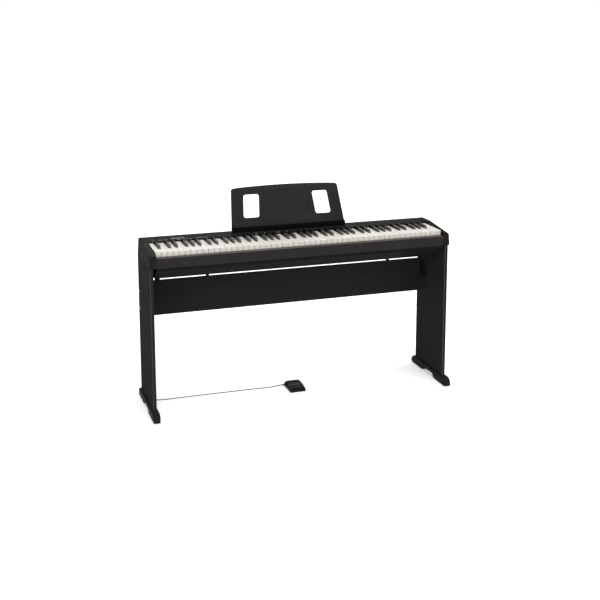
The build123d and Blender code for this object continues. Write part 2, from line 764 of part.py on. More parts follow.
def sharp_centre(index):
    """Middle of the black key to the right of a white key."""
    return KEY_START + KEY_PITCH * (index + 1) + SHARP_SHIFT[note_letter(index)]


def hinge_boss(x0, x1):
    """The round boss under a key's tail, which rocks in the frame's groove."""
    boss = rod_x(HINGE_RADIUS, x0, x1, HINGE_Y, HINGE_Z)
    return boss + block(x0, x1, HINGE_Y - 3.0, HINGE_Y + 3.0, HINGE_Z, WHITE_TOP - WHITE_DEPTH + 1.5)


def white_key(index):
    """A white key: a wide head, a neck beside the black keys and a hinged tail."""
    left = KEY_START + KEY_PITCH * index + KEY_GAP / 2
    right = left + KEY_PITCH - KEY_GAP
    neck_left = left
    neck_right = right
    reach = BLACK_WIDTH / 2 + SHARP_CLEARANCE
    if has_sharp(index - 1):
        neck_left = sharp_centre(index - 1) + reach
    if has_sharp(index):
        neck_right = sharp_centre(index) - reach
    shoulder = WHITE_FRONT + HEAD_LENGTH
    bottom = WHITE_TOP - WHITE_DEPTH
    tail = HINGE_Y + 4.0
    outline = [(left, WHITE_FRONT), (right, WHITE_FRONT), (right, shoulder)]
    if neck_right < right:
        outline.append((neck_right, shoulder))
    outline += [(neck_right, tail), (neck_left, tail)]
    if neck_left > left:
        outline.append((neck_left, shoulder))
    outline.append((left, shoulder))
    body = plan_prism(outline, bottom, WHITE_TOP)
    wall = KEY_WALL
    roof = WHITE_TOP - wall
    body -= block(left + wall, right - wall, WHITE_FRONT + wall, shoulder - wall, bottom, roof)
    body -= block(neck_left + wall, neck_right - wall, shoulder - 2 * wall, tail - 12.0, bottom, roof)
    return body + hinge_boss(neck_left, neck_right)


def black_key(index):
    """A black key: a tapered body with a sloping front, and a low hinged tail."""
    x = sharp_centre(index)
    bottom = WHITE_TOP - WHITE_DEPTH + 1.5
    top = WHITE_TOP + BLACK_RISE
    foot_half = BLACK_WIDTH / 2
    top_half = BLACK_TOP_WIDTH / 2
    section = [
        (x - foot_half, bottom),
        (x + foot_half, bottom),
        (x + foot_half, WHITE_TOP),
        (x + top_half, top),
        (x - top_half, top),
        (x - foot_half, WHITE_TOP),
    ]
    body = front_prism(section, BLACK_FRONT, KEY_BACK - 1.0)
    before = BLACK_FRONT - 1.0
    nose = [(before, WHITE_TOP - 1.0), (before, top + 1.0), (BLACK_FRONT + BLACK_NOSE, top + 1.0)]
    body -= side_prism(nose, x - BLACK_WIDTH, x + BLACK_WIDTH)
    tail_half = top_half - 0.2
    body += block(x - tail_half, x + tail_half, KEY_BACK - 3.0, HINGE_Y + 4.0, bottom, WHITE_TOP - 2.0)
    return body + hinge_boss(x - tail_half, x + tail_half)


def build_keys():
    solo = range(FIRST_SOLO_KEY, LAST_SOLO_KEY + 1)
    bass = range(0, FIRST_SOLO_KEY)
    treble = range(LAST_SOLO_KEY + 1, WHITE_COUNT)
    for index in solo:
        name = note_letter(index).lower() + str(note_octave(index))
        save(white_key(index), f"white_key_{name}")
        if has_sharp(index):
            save(black_key(index), f"black_key_{name}_sharp")
    for label, keys in (("bass", bass), ("treble", treble)):
        save(Compound([white_key(i) for i in keys]), f"white_keys_{label}")
        save(Compound([black_key(i) for i in keys if has_sharp(i)]), f"black_keys_{label}")


# ---------------------------------------------------------- the music rest

def rest_frame():
    """The slanted frame of the music rest: local Z runs up the plate."""
    return Pos(0, REST_BOTTOM_Y, REST_BOTTOM_Z) * Rot(-REST_TILT, 0, 0)


def rest_window(side, lean):
    """A rounded window whose upright sides lean in as the plate's own sides do."""
    middle = (REST_WINDOW_LOW + REST_WINDOW_HIGH) / 2
    half = REST_WINDOW_WIDTH / 2
    low = REST_WINDOW_LOW
    high = REST_WINDOW_HIGH
    points = []
    for edge, z in ((-half, low), (half, low), (half, high), (-half, high)):
        points.append((side * (REST_WINDOW_X + edge - lean * (z - middle)), z))
    window = make_face(Polyline(*points, close=True))
    return fillet(window.vertices(), 10.0)


def music_rest():
    """The slanted plate with two windows, its ledge and the tab that goes into the top panel."""
    bottom = REST_BOTTOM_WIDTH / 2
    top = REST_TOP_WIDTH / 2
    shoulder = REST_HEIGHT - REST_CROWN
    crown = ThreePointArc((-top, shoulder), (0.0, REST_HEIGHT), (top, shoulder))
    sides = Polyline((top, shoulder), (bottom, 0.0), (-bottom, 0.0), (-top, shoulder))
    face = make_face(crown + sides)
    face = fillet(face.vertices().group_by(Axis.Y)[-1], REST_CORNER_RADIUS)
    lean = (bottom - top) / shoulder
    face -= rest_window(1, lean)
    face -= rest_window(-1, lean)
    upright = Plane((0, REST_THICK / 2, 0), x_dir=(1, 0, 0), z_dir=(0, -1, 0))
    plate = extrude(upright * face, amount=REST_THICK)
    recess_height = REST_RECESS_HIGH - REST_RECESS_LOW
    recess = Pos(0.0, REST_RECESS_LOW + recess_height / 2) * Rectangle(REST_RECESS_WIDTH, recess_height)
    front = Plane((0, REST_RECESS_DEPTH - REST_THICK / 2, 0), x_dir=(1, 0, 0), z_dir=(0, -1, 0))
    plate -= extrude(front * fillet(recess.vertices(), 4.0), amount=2.0)
    plate += Pos(0, 0, -TAB_DEPTH / 2) * Box(2 * REST_SLOT_HALF, REST_THICK, TAB_DEPTH)
    plate = rest_frame() * plate
    ledge_front = REST_BOTTOM_Y - LEDGE_DEPTH
    ledge_bottom = BODY_TOP + 0.4
    ledge_top = REST_BOTTOM_Z + 1.0
    half = LEDGE_HALF_WIDTH
    ledge = block(-half, half, ledge_front, REST_BOTTOM_Y + 2.0, ledge_bottom, ledge_top)
    return plate + fillet(ledge.edges().group_by(Axis.Y)[0], 1.2)


# --------------------------------------------------------------- the pedal

TREAD_HALF = 31.0
TREAD_FRONT = -22.0
TREAD_REAR = 65.0
TREAD_GROOVES = 5
TREAD_GROOVE_START = -8.0
TREAD_GROOVE_PITCH = 10.0
RELIEF_Y = 60.0
RELIEF_Z = 6.5
RELIEF_END = -46.0
MAT_HEIGHT = 1.5
SPRING_Y = 5.0
SPRING_BOTTOM = 5.1


def pedal_base():
    """The pedal's lower housing: a low box with side walls and a spring seat."""
    left = PEDAL_X - PEDAL_WIDTH / 2
    right = PEDAL_X + PEDAL_WIDTH / 2
    body = block(left, right, PEDAL_FRONT, PEDAL_REAR, MAT_HEIGHT, PEDAL_BASE_TOP)
    body = fillet(body.edges().filter_by(Axis.Z), 5.0)
    body = fillet(body.edges().group_by(Axis.Z)[-1], 1.5)
    floor = MAT_HEIGHT + 3.0
    body -= block(left + 3.0, right - 3.0, PEDAL_FRONT + 4.0, PEDAL_REAR - 4.0, floor, PEDAL_BASE_TOP)
    for side in (-1, 1):
        edge = PEDAL_X + side * (PEDAL_WIDTH / 2 - 1.5)
        ear = Box(3.0, 10.0, PEDAL_PIVOT_Z + 1.0 - MAT_HEIGHT)
        body += Pos(edge, PEDAL_PIVOT_Y, (PEDAL_PIVOT_Z + 7.0 + MAT_HEIGHT) / 2) * ear
    pin_half = PEDAL_WIDTH / 2 - 1.0
    body -= rod_x(2.0, PEDAL_X - pin_half, PEDAL_X + pin_half, PEDAL_PIVOT_Y, PEDAL_PIVOT_Z)
    body += rod_z(3.0, MAT_HEIGHT + 2.0, MAT_HEIGHT + 6.0, PEDAL_X, SPRING_Y)
    return body - rod_x(2.4, left - 1.0, left + 4.0, RELIEF_Y, RELIEF_Z)


def pedal_tread():
    """The tread that the player presses: a crowned, ribbed plate on the rear pin."""
    left = PEDAL_X - TREAD_HALF
    right = PEDAL_X + TREAD_HALF
    front = (left, TREAD_FRONT, 17.0)
    middle = (left, 18.0, 24.5)
    rear = (left, TREAD_REAR, 22.0)
    crest = ThreePointArc(front, middle, rear)
    rear_under = (left, TREAD_REAR, 18.0)
    middle_under = (left, 18.0, 20.0)
    front_under = (left, TREAD_FRONT + 3.0, 14.5)
    under = Polyline(rear, rear_under, middle_under, front_under, front)
    tread = extrude(make_face(crest + under), amount=2 * TREAD_HALF, dir=(1, 0, 0))
    for row in range(TREAD_GROOVES):
        y = TREAD_GROOVE_START + row * TREAD_GROOVE_PITCH
        tread -= rod_x(1.0, left + 5.0, right - 5.0, y, 24.8 - 0.0036 * (y - 22.0) ** 2)
    for side in (-1, 1):
        x = PEDAL_X + side * (TREAD_HALF - 3.0)
        lug_top = 21.0
        lug = Box(4.0, 8.0, lug_top + 4.0 - PEDAL_PIVOT_Z)
        tread += Pos(x, PEDAL_PIVOT_Y, (lug_top - 4.0 + PEDAL_PIVOT_Z) / 2) * lug
    tread += rod_z(3.0, 15.5, 20.0, PEDAL_X, SPRING_Y)
    return tread - rod_x(2.05, left - 5.0, right + 5.0, PEDAL_PIVOT_Y, PEDAL_PIVOT_Z)


def pedal_spring():
    """The return spring between the base's peg and the tread's peg."""
    turns = Helix(pitch=2.5, height=11.4, radius=4.6, center=(PEDAL_X, SPRING_Y, SPRING_BOTTOM))
    section = Plane(origin=turns @ 0, z_dir=turns % 0) * Circle(0.5)
    return sweep(section, path=turns)


def pedal_relief():
    """The tapered boot where the cord leaves the pedal."""
    left = PEDAL_X - PEDAL_WIDTH / 2
    profile = [
        (RELIEF_END, 0.0),
        (RELIEF_END, 2.3),
        (left - 1.5, 3.4),
        (left, 3.4),
        (left, 2.3),
        (left + 3.0, 2.3),
        (left + 3.0, 0.0),
    ]
    face = make_face(Polyline(*[(x, RELIEF_Y, RELIEF_Z + r) for x, r in profile], close=True))
    return revolve(face, axis=Axis((0, RELIEF_Y, RELIEF_Z), (1, 0, 0)))


CORD_LOW = CORD_DIAMETER / 2 + 0.1
FLOOR_ROUTE = [
    (RELIEF_END, RELIEF_Y, RELIEF_Z), (-66.0, 60.2, 5.4), (-90.0, 60.9, 2.6), (-131.0, 62.4, CORD_LOW),
    (-186.0, 64.6, CORD_LOW), (-243.0, 66.2, CORD_LOW), (-301.0, 67.3, CORD_LOW), (-358.0, 67.7, CORD_LOW),
    (-413.0, 68.6, CORD_LOW), (-469.0, 68.3, CORD_LOW), (-521.0, 69.1, CORD_LOW), (-570.0, 69.0, CORD_LOW),
    (-601.0, 80.0, CORD_LOW), (-603.0, 118.0, CORD_LOW), (-592.0, 158.0, CORD_LOW), (-584.0, 190.0, CORD_LOW),
]
RISE_ROUTE = [
    (-617.5, 182.0, 8.6), (-607.0, 177.6, 9.6), (-594.5, 177.0, 15.8), (-587.4, 177.6, 28.0),
    (-587.2, 178.6, 52.0), (-588.6, 180.6, 98.0), (-587.8, 184.5, 153.0), (-589.6, 186.5, 209.0),
    (-588.8, 189.8, 266.0),
    (-590.6, 191.8, 323.0), (-590.0, 194.2, 380.0), (-591.2, 195.4, 437.0), (-590.2, 197.2, 493.0),
    (-590.8, 198.4, 545.0), (-589.8, 199.6, 590.0), (-590.0, 199.4, 618.0), (-590.0, 192.6, 631.5),
    (-590.0, 180.4, 639.2), (-590.0, 166.0, 640.0),
]
COIL_X = -603.0
COIL_Y = 197.0
COIL_RADIUS = 19.2
COIL_BOTTOM = 0.1
COIL_HEIGHT = 10.6
PLUG_END = 166.0


def cord_tube(route, name):
    """A round cord along straight runs joined by the largest arcs that they allow."""
    radii = []
    for before, here, after in zip(route, route[1:], route[2:]):
        arriving = Vector(*here) - Vector(*before)
        leaving = Vector(*after) - Vector(*here)
        run = min(arriving.length, leaving.length)
        half_turn = math.radians(arriving.get_angle(leaving) / 2)
        radii.append(0.45 * run / math.tan(half_turn))
    path = FilletPolyline(*route, radius=radii)
    section = Plane(origin=path @ 0, z_dir=path % 0) * Circle(CORD_DIAMETER / 2)
    tube = sweep(section, path=path)
    expected = math.pi * CORD_DIAMETER ** 2 / 4 * path.length
    print(name, "radii", [round(r, 1) for r in radii], "length", round(path.length, 1))
    print(name, "volume", round(tube.volume, 1), "expected", round(expected, 1))
    return tube


def cord_coil():
    """The outer shape of the put-away turns of cord, lying on the floor."""
    top = COIL_BOTTOM + COIL_HEIGHT
    outer = rod_z(COIL_RADIUS + CORD_DIAMETER, COIL_BOTTOM, top, COIL_X, COIL_Y)
    inner = rod_z(COIL_RADIUS - CORD_DIAMETER, COIL_BOTTOM, top, COIL_X, COIL_Y)
    ring = outer - inner
    return fillet(ring.edges().filter_by(GeomType.CIRCLE), 1.5)


def pedal_plug():
    """The 6.3 mm plug in its socket, with a boot towards the cord."""
    pin_end = BODY_REAR - 22.0
    collar = BODY_REAR + 2.5
    profile = [
        (pin_end, 0.0),
        (pin_end + 3.0, 2.6),
        (pin_end + 5.0, 1.9),
        (pin_end + 7.0, 3.15),
        (collar, 3.15),
        (collar, 6.5),
        (collar + 22.0, 6.0),
        (PLUG_END, 3.0),
        (PLUG_END, 0.0),
    ]
    face = make_face(Polyline(*[(PEDAL_JACK_X, y, JACK_Z + r) for y, r in profile], close=True))
    return revolve(face, axis=Axis((PEDAL_JACK_X, 0, JACK_Z), (0, 1, 0)))


def build_pedal():
    save(pedal_base(), "pedal_base")
    save(pedal_tread(), "pedal_tread")
    save(pedal_spring(), "pedal_spring")
    pin_half = PEDAL_WIDTH / 2 - 1.0
    save(rod_x(2.0, PEDAL_X - pin_half, PEDAL_X + pin_half, PEDAL_PIVOT_Y, PEDAL_PIVOT_Z), "pedal_pivot_pin")
    left = PEDAL_X - PEDAL_WIDTH / 2
    mat = block(left + 1.0, left + PEDAL_WIDTH - 1.0, PEDAL_FRONT + 1.0, PEDAL_REAR - 1.0, 0.0, MAT_HEIGHT)
    save(fillet(mat.edges().filter_by(Axis.Z), 4.0), "pedal_mat")
    save(pedal_relief(), "pedal_strain_relief")
    save(cord_tube(FLOOR_ROUTE, "pedal_cord"), "pedal_cord")
    save(cord_coil(), "pedal_cord_coil")
    save(cord_tube(RISE_ROUTE, "pedal_cord_rise"), "pedal_cord_rise")
    save(pedal_plug(), "pedal_plug")


os.makedirs("parts", exist_ok=True)
build_stand()
build_casing()
build_inside()
build_keys()
save(music_rest(), "music_rest")
build_pedal()
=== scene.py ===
import json
import math

import bmesh
import bpy
from mathutils import Matrix, Vector


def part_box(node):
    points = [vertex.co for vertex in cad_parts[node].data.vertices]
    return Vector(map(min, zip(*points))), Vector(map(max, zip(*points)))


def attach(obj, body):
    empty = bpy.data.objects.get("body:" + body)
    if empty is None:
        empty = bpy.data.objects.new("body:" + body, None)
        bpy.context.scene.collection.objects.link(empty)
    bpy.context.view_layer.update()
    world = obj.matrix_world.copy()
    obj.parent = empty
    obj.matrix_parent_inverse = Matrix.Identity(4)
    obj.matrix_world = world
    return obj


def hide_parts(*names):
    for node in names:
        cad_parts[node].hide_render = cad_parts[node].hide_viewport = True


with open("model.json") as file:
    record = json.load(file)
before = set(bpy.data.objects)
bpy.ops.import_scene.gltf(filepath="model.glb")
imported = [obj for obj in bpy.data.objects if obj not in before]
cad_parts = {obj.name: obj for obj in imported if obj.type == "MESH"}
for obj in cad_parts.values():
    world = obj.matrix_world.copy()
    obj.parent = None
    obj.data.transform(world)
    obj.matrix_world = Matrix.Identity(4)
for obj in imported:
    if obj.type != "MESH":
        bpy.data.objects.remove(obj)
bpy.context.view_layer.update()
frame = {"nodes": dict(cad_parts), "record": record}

# Metres throughout. +X runs to the treble end, -Y points at the player, +Z is up.

# The camera
CAMERA_PLACE = (-1.3143, -3.9578, 1.6316)
CAMERA_YAW = 18.598
CAMERA_PITCH = 10.138
CAMERA_LENS = 61.62
CAMERA_SENSOR = 36.0
CAMERA_SHIFT = -0.19

# The studio. A little light from the floor itself keeps its shadows faint.
FLOOR_GLOW = 0.32
FLOOR_HALF = 200.0
FLOOR_LEVEL = -0.0002
SUN_STRENGTH = 3.2
SUN_SPREAD = 75.0
SUN_TURN = (22.0, 12.0, 0.0)
BOX_POWER = 30.0
# Height over the horizon and brightness, where the room's shade starts and stops changing.
ROOM_STOPS = ((0.01, 1.0), (0.08, 0.28))

# The top panel, which rises from its front lip to its bend
PANEL_EDGE = 0.040
PANEL_BEND = 0.100
PANEL_LIP = 0.6845
PANEL_TOP = 0.688
# Printed dashes before the buttons: middle and width.
BUTTON_MARKS = (
    (-0.590, 0.010), (-0.156, 0.012), (-0.120, 0.007),
    (-0.088, 0.007), (-0.061, 0.012), (-0.019, 0.014),
)
BUTTON_MARK_Y = 0.0500
BUTTON_MARK_DEPTH = 0.0032
# Rows of printed dashes at the bass end: first x, y, dash width and depth, pitch, count.
DASH_ROWS = (
    (-0.564, 0.058, 0.007, 0.0030, 0.010, 4),
    (-0.508, 0.071, 0.006, 0.0080, 0.009, 6),
    (-0.486, 0.050, 0.008, 0.0040, 0.012, 5),
    (-0.408, 0.056, 0.009, 0.0030, 0.013, 4),
)
# How far the ink reaches below and above the panel's skin.
INK_LEVELS = (-0.00010, 0.00012)

# The keyboard
WHITE_COUNT = 52
WHITE_TOP = 0.6786
WHITE_DEPTH = 0.020
WHITE_FRONT = -0.1115
BLACK_FRONT = -0.0565
BLACK_BACK = 0.0375
BLACK_FALL = 0.002
BLACK_BOTTOM = 0.6601
BLACK_TOP = 0.6906
BLACK_NOSE = 0.0074
TAIL_END = 0.084
HINGE_Y = 0.080
HINGE_Z = 0.654
HINGE_RADIUS = 0.004
HINGE_WEB = 0.003
# How far solids of one moulding run into each other.
OVERLAP = 0.0005
KEY_PITCH = 0.0235
KEY_GAP = 0.001
KEY_START = -WHITE_COUNT * KEY_PITCH / 2
HEAD_LENGTH = 0.051
KEY_PLATE = 0.0035
CAP_ROUND = 0.0008
# A white key's body is drawn in from its cap by this much at the sides and at the front.
BODY_INSET = (0.0004, 0.0010)
BLACK_WIDTH = 0.011
BLACK_TOP_WIDTH = 0.0094
BLACK_ROUND = 0.0012
FIRST_SOLO_KEY = 23
LAST_SOLO_KEY = 29
LETTERS = "ABCDEFG"
SHARP_SHIFT = {"A": 0.0035, "C": -0.0025, "D": 0.0025, "F": -0.0035, "G": 0.0}
SHARP_CLEARANCE = 0.001

# The music rest: its plate's local Z runs up the slope from the foot of the plate
REST_FOOT = (0.0, 0.097, 0.708)
REST_TILT = math.radians(21.0)
REST_HEIGHT = 0.172
REST_CROWN = 0.008
REST_BOTTOM = 0.251
REST_TOP = 0.237
REST_THICK = 0.004
REST_CORNER = 0.012
REST_LOW_CORNER = 0.004
REST_EDGE = 0.0012
PLATE_SINK = 0.004
WINDOW_X = 0.156
WINDOW_WIDTH = 0.068
WINDOW_LOW = 0.036
WINDOW_HIGH = 0.135
WINDOW_CORNER = 0.010
RECESS_HALF = 0.090
RECESS_LOW = 0.042
RECESS_HIGH = 0.148
RECESS_DEPTH = 0.0009
RECESS_CORNER = 0.005
# Ribs on the plate's rear face.
RIB_PLACES = (-0.100, 0.100, -0.212, 0.212)
RIB_HALF = 0.001
RIB_LOW = 0.014
RIB_HIGH = 0.148
RIB_HEIGHT = 0.0014
RIB_ROOT = 0.0008
CROSS_RIB_HALF = 0.222
LEDGE_FRONT = 0.082
LEDGE_REAR = 0.099
LEDGE_BOTTOM = 0.6884
LEDGE_TOP = 0.709
LEDGE_GROOVES = (0.6945, 0.7010)
LEDGE_NOSE = 0.0014
LEDGE_ROUND = 0.0012
TAB_HALF = 0.200
TAB_DEPTH = 0.029

# The stand's feet
FOOT_WIDTH = 0.030
FOOT_BOTTOM = 0.004
FOOT_TOP = 0.036
FOOT_ARCH = 0.018
FOOT_HALF_LENGTH = 0.1735
FOOT_FLAT = 0.136
ARCH_FRONT = -0.062
ARCH_REAR = 0.054
ARCH_SLOPE = 0.015
FOOT_TIP = 0.003
FOOT_TAPER = 0.16

# The pedal
PEDAL_X = 0.001
PEDAL_HALF = 0.035
PEDAL_FRONT = -0.027
PEDAL_REAR = 0.067
PEDAL_BOTTOM = 0.0015
PEDAL_TOP = 0.013
PIVOT_Y = 0.056
PIVOT_Z = 0.015
TREAD_HALF = 0.031
TREAD_FRONT = -0.022
TREAD_REAR = 0.065
GROOVE_START = -0.002
GROOVE_PITCH = 0.004
GROOVE_COUNT = 4
RIDGES = (-0.009, 0.018)
RIDGE_HALF = 0.0034
RIDGE_HEIGHT = 0.0017
STEP_Y = 0.036
STEP_DROP = 0.0012
CREST_Y = 0.018
CREST_Z = 0.0245
TOE_FALL = 0.0075
HEEL_FALL = 0.0025
HOLLOW_FRONT = -0.019
UNDER_LOW = 0.0145
UNDER_HIGH = 0.020
SPRING_Y = 0.005
PEG_RADIUS = 0.003
LUG_RADIUS = 0.004

# The pedal's cord
CORD_DIAMETER = 0.0035
CORD_LOW = 0.00185
RELIEF_CENTRE = (0.060, 0.0065)
RELIEF_END = -0.046
PLUG_CENTRE = (-0.590, 0.640)
PLUG_TIP = 0.101
PLUG_COLLAR = 0.1255
PLUG_END = 0.166
PIN_RADIUS = 0.00315
FLOOR_ROUTE = [
    (-0.046, 0.060, 0.0065), (-0.066, 0.0602, 0.0054), (-0.090, 0.0609, 0.0026),
    (-0.131, 0.0624, CORD_LOW), (-0.186, 0.0646, CORD_LOW), (-0.243, 0.0662, CORD_LOW),
    (-0.301, 0.0673, CORD_LOW), (-0.358, 0.0677, CORD_LOW), (-0.413, 0.0686, CORD_LOW),
    (-0.469, 0.0683, CORD_LOW), (-0.521, 0.0691, CORD_LOW), (-0.570, 0.0690, CORD_LOW),
    (-0.601, 0.080, CORD_LOW), (-0.603, 0.118, CORD_LOW), (-0.592, 0.158, CORD_LOW),
]
RISE_ROUTE = [
    (-0.607, 0.1776, 0.0096), (-0.5945, 0.177, 0.0158), (-0.5874, 0.1776, 0.028),
    (-0.5872, 0.1786, 0.052), (-0.5886, 0.1806, 0.098), (-0.5878, 0.1845, 0.153),
    (-0.5896, 0.1865, 0.209), (-0.5888, 0.1898, 0.266), (-0.5906, 0.1918, 0.323),
    (-0.5900, 0.1942, 0.380), (-0.5912, 0.1954, 0.437), (-0.5902, 0.1972, 0.493),
    (-0.5908, 0.1984, 0.545), (-0.5898, 0.1996, 0.590), (-0.5900, 0.1994, 0.618),
    (-0.5900, 0.1926, 0.6315), (-0.5900, 0.1804, 0.6392), (-0.5900, 0.166, 0.640),
]
COIL_CENTRE = (-0.603, 0.197)
COIL_INNER = 0.01745
COIL_OUTER = 0.02095
COIL_POINTS = 16
COIL_LAYERS = (0.00185, 0.00535, 0.00885)
# Where each turn starts and ends its step to the next one, in degrees round the coil.
STEP_FROM = 220.0
STEP_TO = 300.0
COIL_END = 4 * 360.0 + 226.0


# ---- materials

materials = {}


class Finish:
    """A Principled material that is built up from procedural nodes."""

    def __init__(self, name, colour, roughness, ior=1.5, metallic=0.0):
        material = bpy.data.materials.new(name)
        material.use_nodes = True
        materials[name] = material
        self.nodes = material.node_tree.nodes
        self.links = material.node_tree.links
        self.shader = self.nodes["Principled BSDF"]
        self.place = self.nodes.new("ShaderNodeTexCoord").outputs["Object"]
        self.colour = (*colour, 1.0)
        self.shader.inputs["Base Color"].default_value = self.colour
        self.shader.inputs["Roughness"].default_value = roughness
        self.shader.inputs["IOR"].default_value = ior
        self.shader.inputs["Metallic"].default_value = metallic
        self.normal = None

    def set(self, socket, value):
        self.shader.inputs[socket].default_value = value
        return self

    def noise(self, size, detail=2.0, stretch=(1.0, 1.0, 1.0)):
        """A noise whose lumps are about that size, longer along a stretched axis."""
        place = self.nodes.new("ShaderNodeMapping")
        place.inputs["Scale"].default_value = [1.0 / s for s in stretch]
        self.links.new(self.place, place.inputs["Vector"])
        noise = self.nodes.new("ShaderNodeTexNoise")
        noise.inputs["Scale"].default_value = 1.0 / size
        noise.inputs["Detail"].default_value = detail
        self.links.new(place.outputs["Vector"], noise.inputs["Vector"])
        return noise.outputs["Fac"]

    def mapped(self, value, low, high, from_low=0.3, from_high=0.7):
        spread = self.nodes.new("ShaderNodeMapRange")
        spread.inputs["From Min"].default_value = from_low
        spread.inputs["From Max"].default_value = from_high
        spread.inputs["To Min"].default_value = low
        spread.inputs["To Max"].default_value = high
        self.links.new(value, spread.inputs["Value"])
        return spread.outputs["Result"]

    def blend_colour(self, share, other):
        """Mixes another colour in, by a share from 0 to 1."""
        mix = self.nodes.new("ShaderNodeMix")
        mix.data_type = "RGBA"
        base = self.shader.inputs["Base Color"]
        if base.is_linked:
            self.links.new(base.links[0].from_socket, mix.inputs["A"])
        else:
            mix.inputs["A"].default_value = self.colour
        mix.inputs["B"].default_value = (*other, 1.0)
        self.links.new(share, mix.inputs["Factor"])
        self.links.new(mix.outputs["Result"], base)
        return self

    def mottled(self, size, other, share, stretch=(1.0, 1.0, 1.0)):
        """Patches of a second colour."""
        return self.blend_colour(self.mapped(self.noise(size, 3.0, stretch), 0.0, share), other)

    def varied(self, size, low, high, stretch=(1.0, 1.0, 1.0)):
        """Roughness that drifts between two values."""
        value = self.mapped(self.noise(size, 3.0, stretch), low, high)
        self.links.new(value, self.shader.inputs["Roughness"])
        return self

    def bumped(self, size, depth, strength=0.5, stretch=(1.0, 1.0, 1.0)):
        """A fine relief; several of them add up."""
        bump = self.nodes.new("ShaderNodeBump")
        bump.inputs["Strength"].default_value = strength
        bump.inputs["Distance"].default_value = depth
        self.links.new(self.noise(size, 3.0, stretch), bump.inputs["Height"])
        if self.normal is not None:
            self.links.new(self.normal, bump.inputs["Normal"])
        self.normal = bump.outputs["Normal"]
        self.links.new(self.normal, self.shader.inputs["Normal"])
        return self

    def wear_and_edge_highlight(self, radius, other, share):
        """Edges made paler, by how far a rounded edge leaves the face: partly wear from handling, partly a
        painted highlight on the edges.
        """
        rounded = self.nodes.new("ShaderNodeBevel")
        rounded.samples = 4
        rounded.inputs["Radius"].default_value = radius
        flat = self.nodes.new("ShaderNodeNewGeometry")
        agree = self.nodes.new("ShaderNodeVectorMath")
        agree.operation = "DOT_PRODUCT"
        self.links.new(rounded.outputs["Normal"], agree.inputs[0])
        self.links.new(flat.outputs["Normal"], agree.inputs[1])
        edge = self.mapped(agree.outputs["Value"], share, 0.0, 0.80, 0.995)
        return self.blend_colour(edge, other)

    def band(self, axis, start, end, blur):
        """A share that is 1 between two distances along an axis of the piece."""
        split = self.nodes.new("ShaderNodeSeparateXYZ")
        self.links.new(self.place, split.inputs[0])
        rise = self.mapped(split.outputs[axis], 0.0, 1.0, start - blur, start + blur)
        fall = self.mapped(split.outputs[axis], 1.0, 0.0, end - blur, end + blur)
        both = self.nodes.new("ShaderNodeMath")
        both.operation = "MULTIPLY"
        self.links.new(rise, both.inputs[0])
        self.links.new(fall, both.inputs[1])
        return both.outputs[0]

    def painted_band(self, axis, start, end, blur, other):
        """Painted light or shade: another colour between two distances along an axis of the piece."""
        return self.blend_colour(self.band(axis, start, end, blur), other)

    def painted_shade(self, share, level, other):
        """Painted shade: a duller, darker part, by a share from 0 to 1."""
        self.links.new(self.mapped(share, 0.5, level, 0.0, 1.0), self.shader.inputs["Specular IOR Level"])
        return self.blend_colour(share, other)

    def end_faces(self):
        """A share that is 1 on faces that look to either end of the keyboard."""
        solid = self.nodes.new("ShaderNodeNewGeometry")
        split = self.nodes.new("ShaderNodeSeparateXYZ")
        self.links.new(solid.outputs["Normal"], split.inputs[0])
        size = self.nodes.new("ShaderNodeMath")
        size.operation = "ABSOLUTE"
        self.links.new(split.outputs["X"], size.inputs[0])
        return self.mapped(size.outputs[0], 0.0, 1.0, 0.80, 0.95)

    def painted_edge_highlight(self, direction, other, share):
        """A painted highlight on the part of a round edge that faces one way."""
        solid = self.nodes.new("ShaderNodeNewGeometry")
        facing = self.nodes.new("ShaderNodeVectorMath")
        facing.operation = "DOT_PRODUCT"
        facing.inputs[1].default_value = direction
        self.links.new(solid.outputs["Normal"], facing.inputs[0])
        strip = self.mapped(facing.outputs["Value"], 0.0, share, 0.975, 0.992)
        return self.blend_colour(strip, other)


def board_finishes():
    """Black laminate with its grain upright on the side panels and lengthwise on the board, and a painted
    highlight on its round edges that face the bass end and the front.
    """
    for name, stretch in (("laminate_upright", (1.0, 1.0, 40.0)), ("laminate_long", (40.0, 1.0, 1.0))):
        board = Finish(name, (0.0165, 0.0150, 0.0163), 0.55, 1.02)
        board.mottled(0.004, (0.0215, 0.0198, 0.0212), 0.8, stretch).varied(0.006, 0.50, 0.66, stretch)
        board.bumped(0.0012, 0.00012, 0.35, stretch).bumped(0.0005, 0.00003, 0.3)
        board.wear_and_edge_highlight(0.0008, (0.030, 0.028, 0.028), 0.5)
        # Painted highlight on round edges that face the bass end and the front, such as the side panels'
        # front edges.
        board.painted_edge_highlight((-0.8, -0.6, 0.0), (0.075, 0.072, 0.073), 0.9)


def shell_finishes():
    """The casing's three mouldings, one plastic in lit and shaded copies: the key slip painted lighter, the
    bottom case painted darker. All have painted shade on their end faces, and the key slip a painted
    highlight along its top edge.
    """
    shells = (
        ("case_plastic", (0.0125, 0.0116, 0.0122), (0.0150, 0.0139, 0.0146), 1.055),
        ("slip_plastic_painted_lighter", (0.0200, 0.0184, 0.0190), (0.0245, 0.0224, 0.0232), 1.05),
        ("under_plastic_painted_darker", (0.0085, 0.0079, 0.0086), (0.0105, 0.0098, 0.0106), 1.03),
    )
    for name, colour, other, ior in shells:
        case = Finish(name, colour, 0.34, ior)
        case.mottled(0.03, other, 0.6).varied(0.02, 0.28, 0.36).bumped(0.0007, 0.00004, 0.5)
        case.wear_and_edge_highlight(0.0006, (0.030, 0.028, 0.028), 0.5)
        # Painted shade: the casing's end faces are darker and duller.
        case.painted_shade(case.end_faces(), 0.05, (0.0085, 0.0080, 0.0086))
        if name == "slip_plastic_painted_lighter":
            # Painted highlight: a paler line along the key slip's top edge.
            case.painted_band("Z", 0.6572, 0.6600, 0.0003, (0.085, 0.078, 0.072))


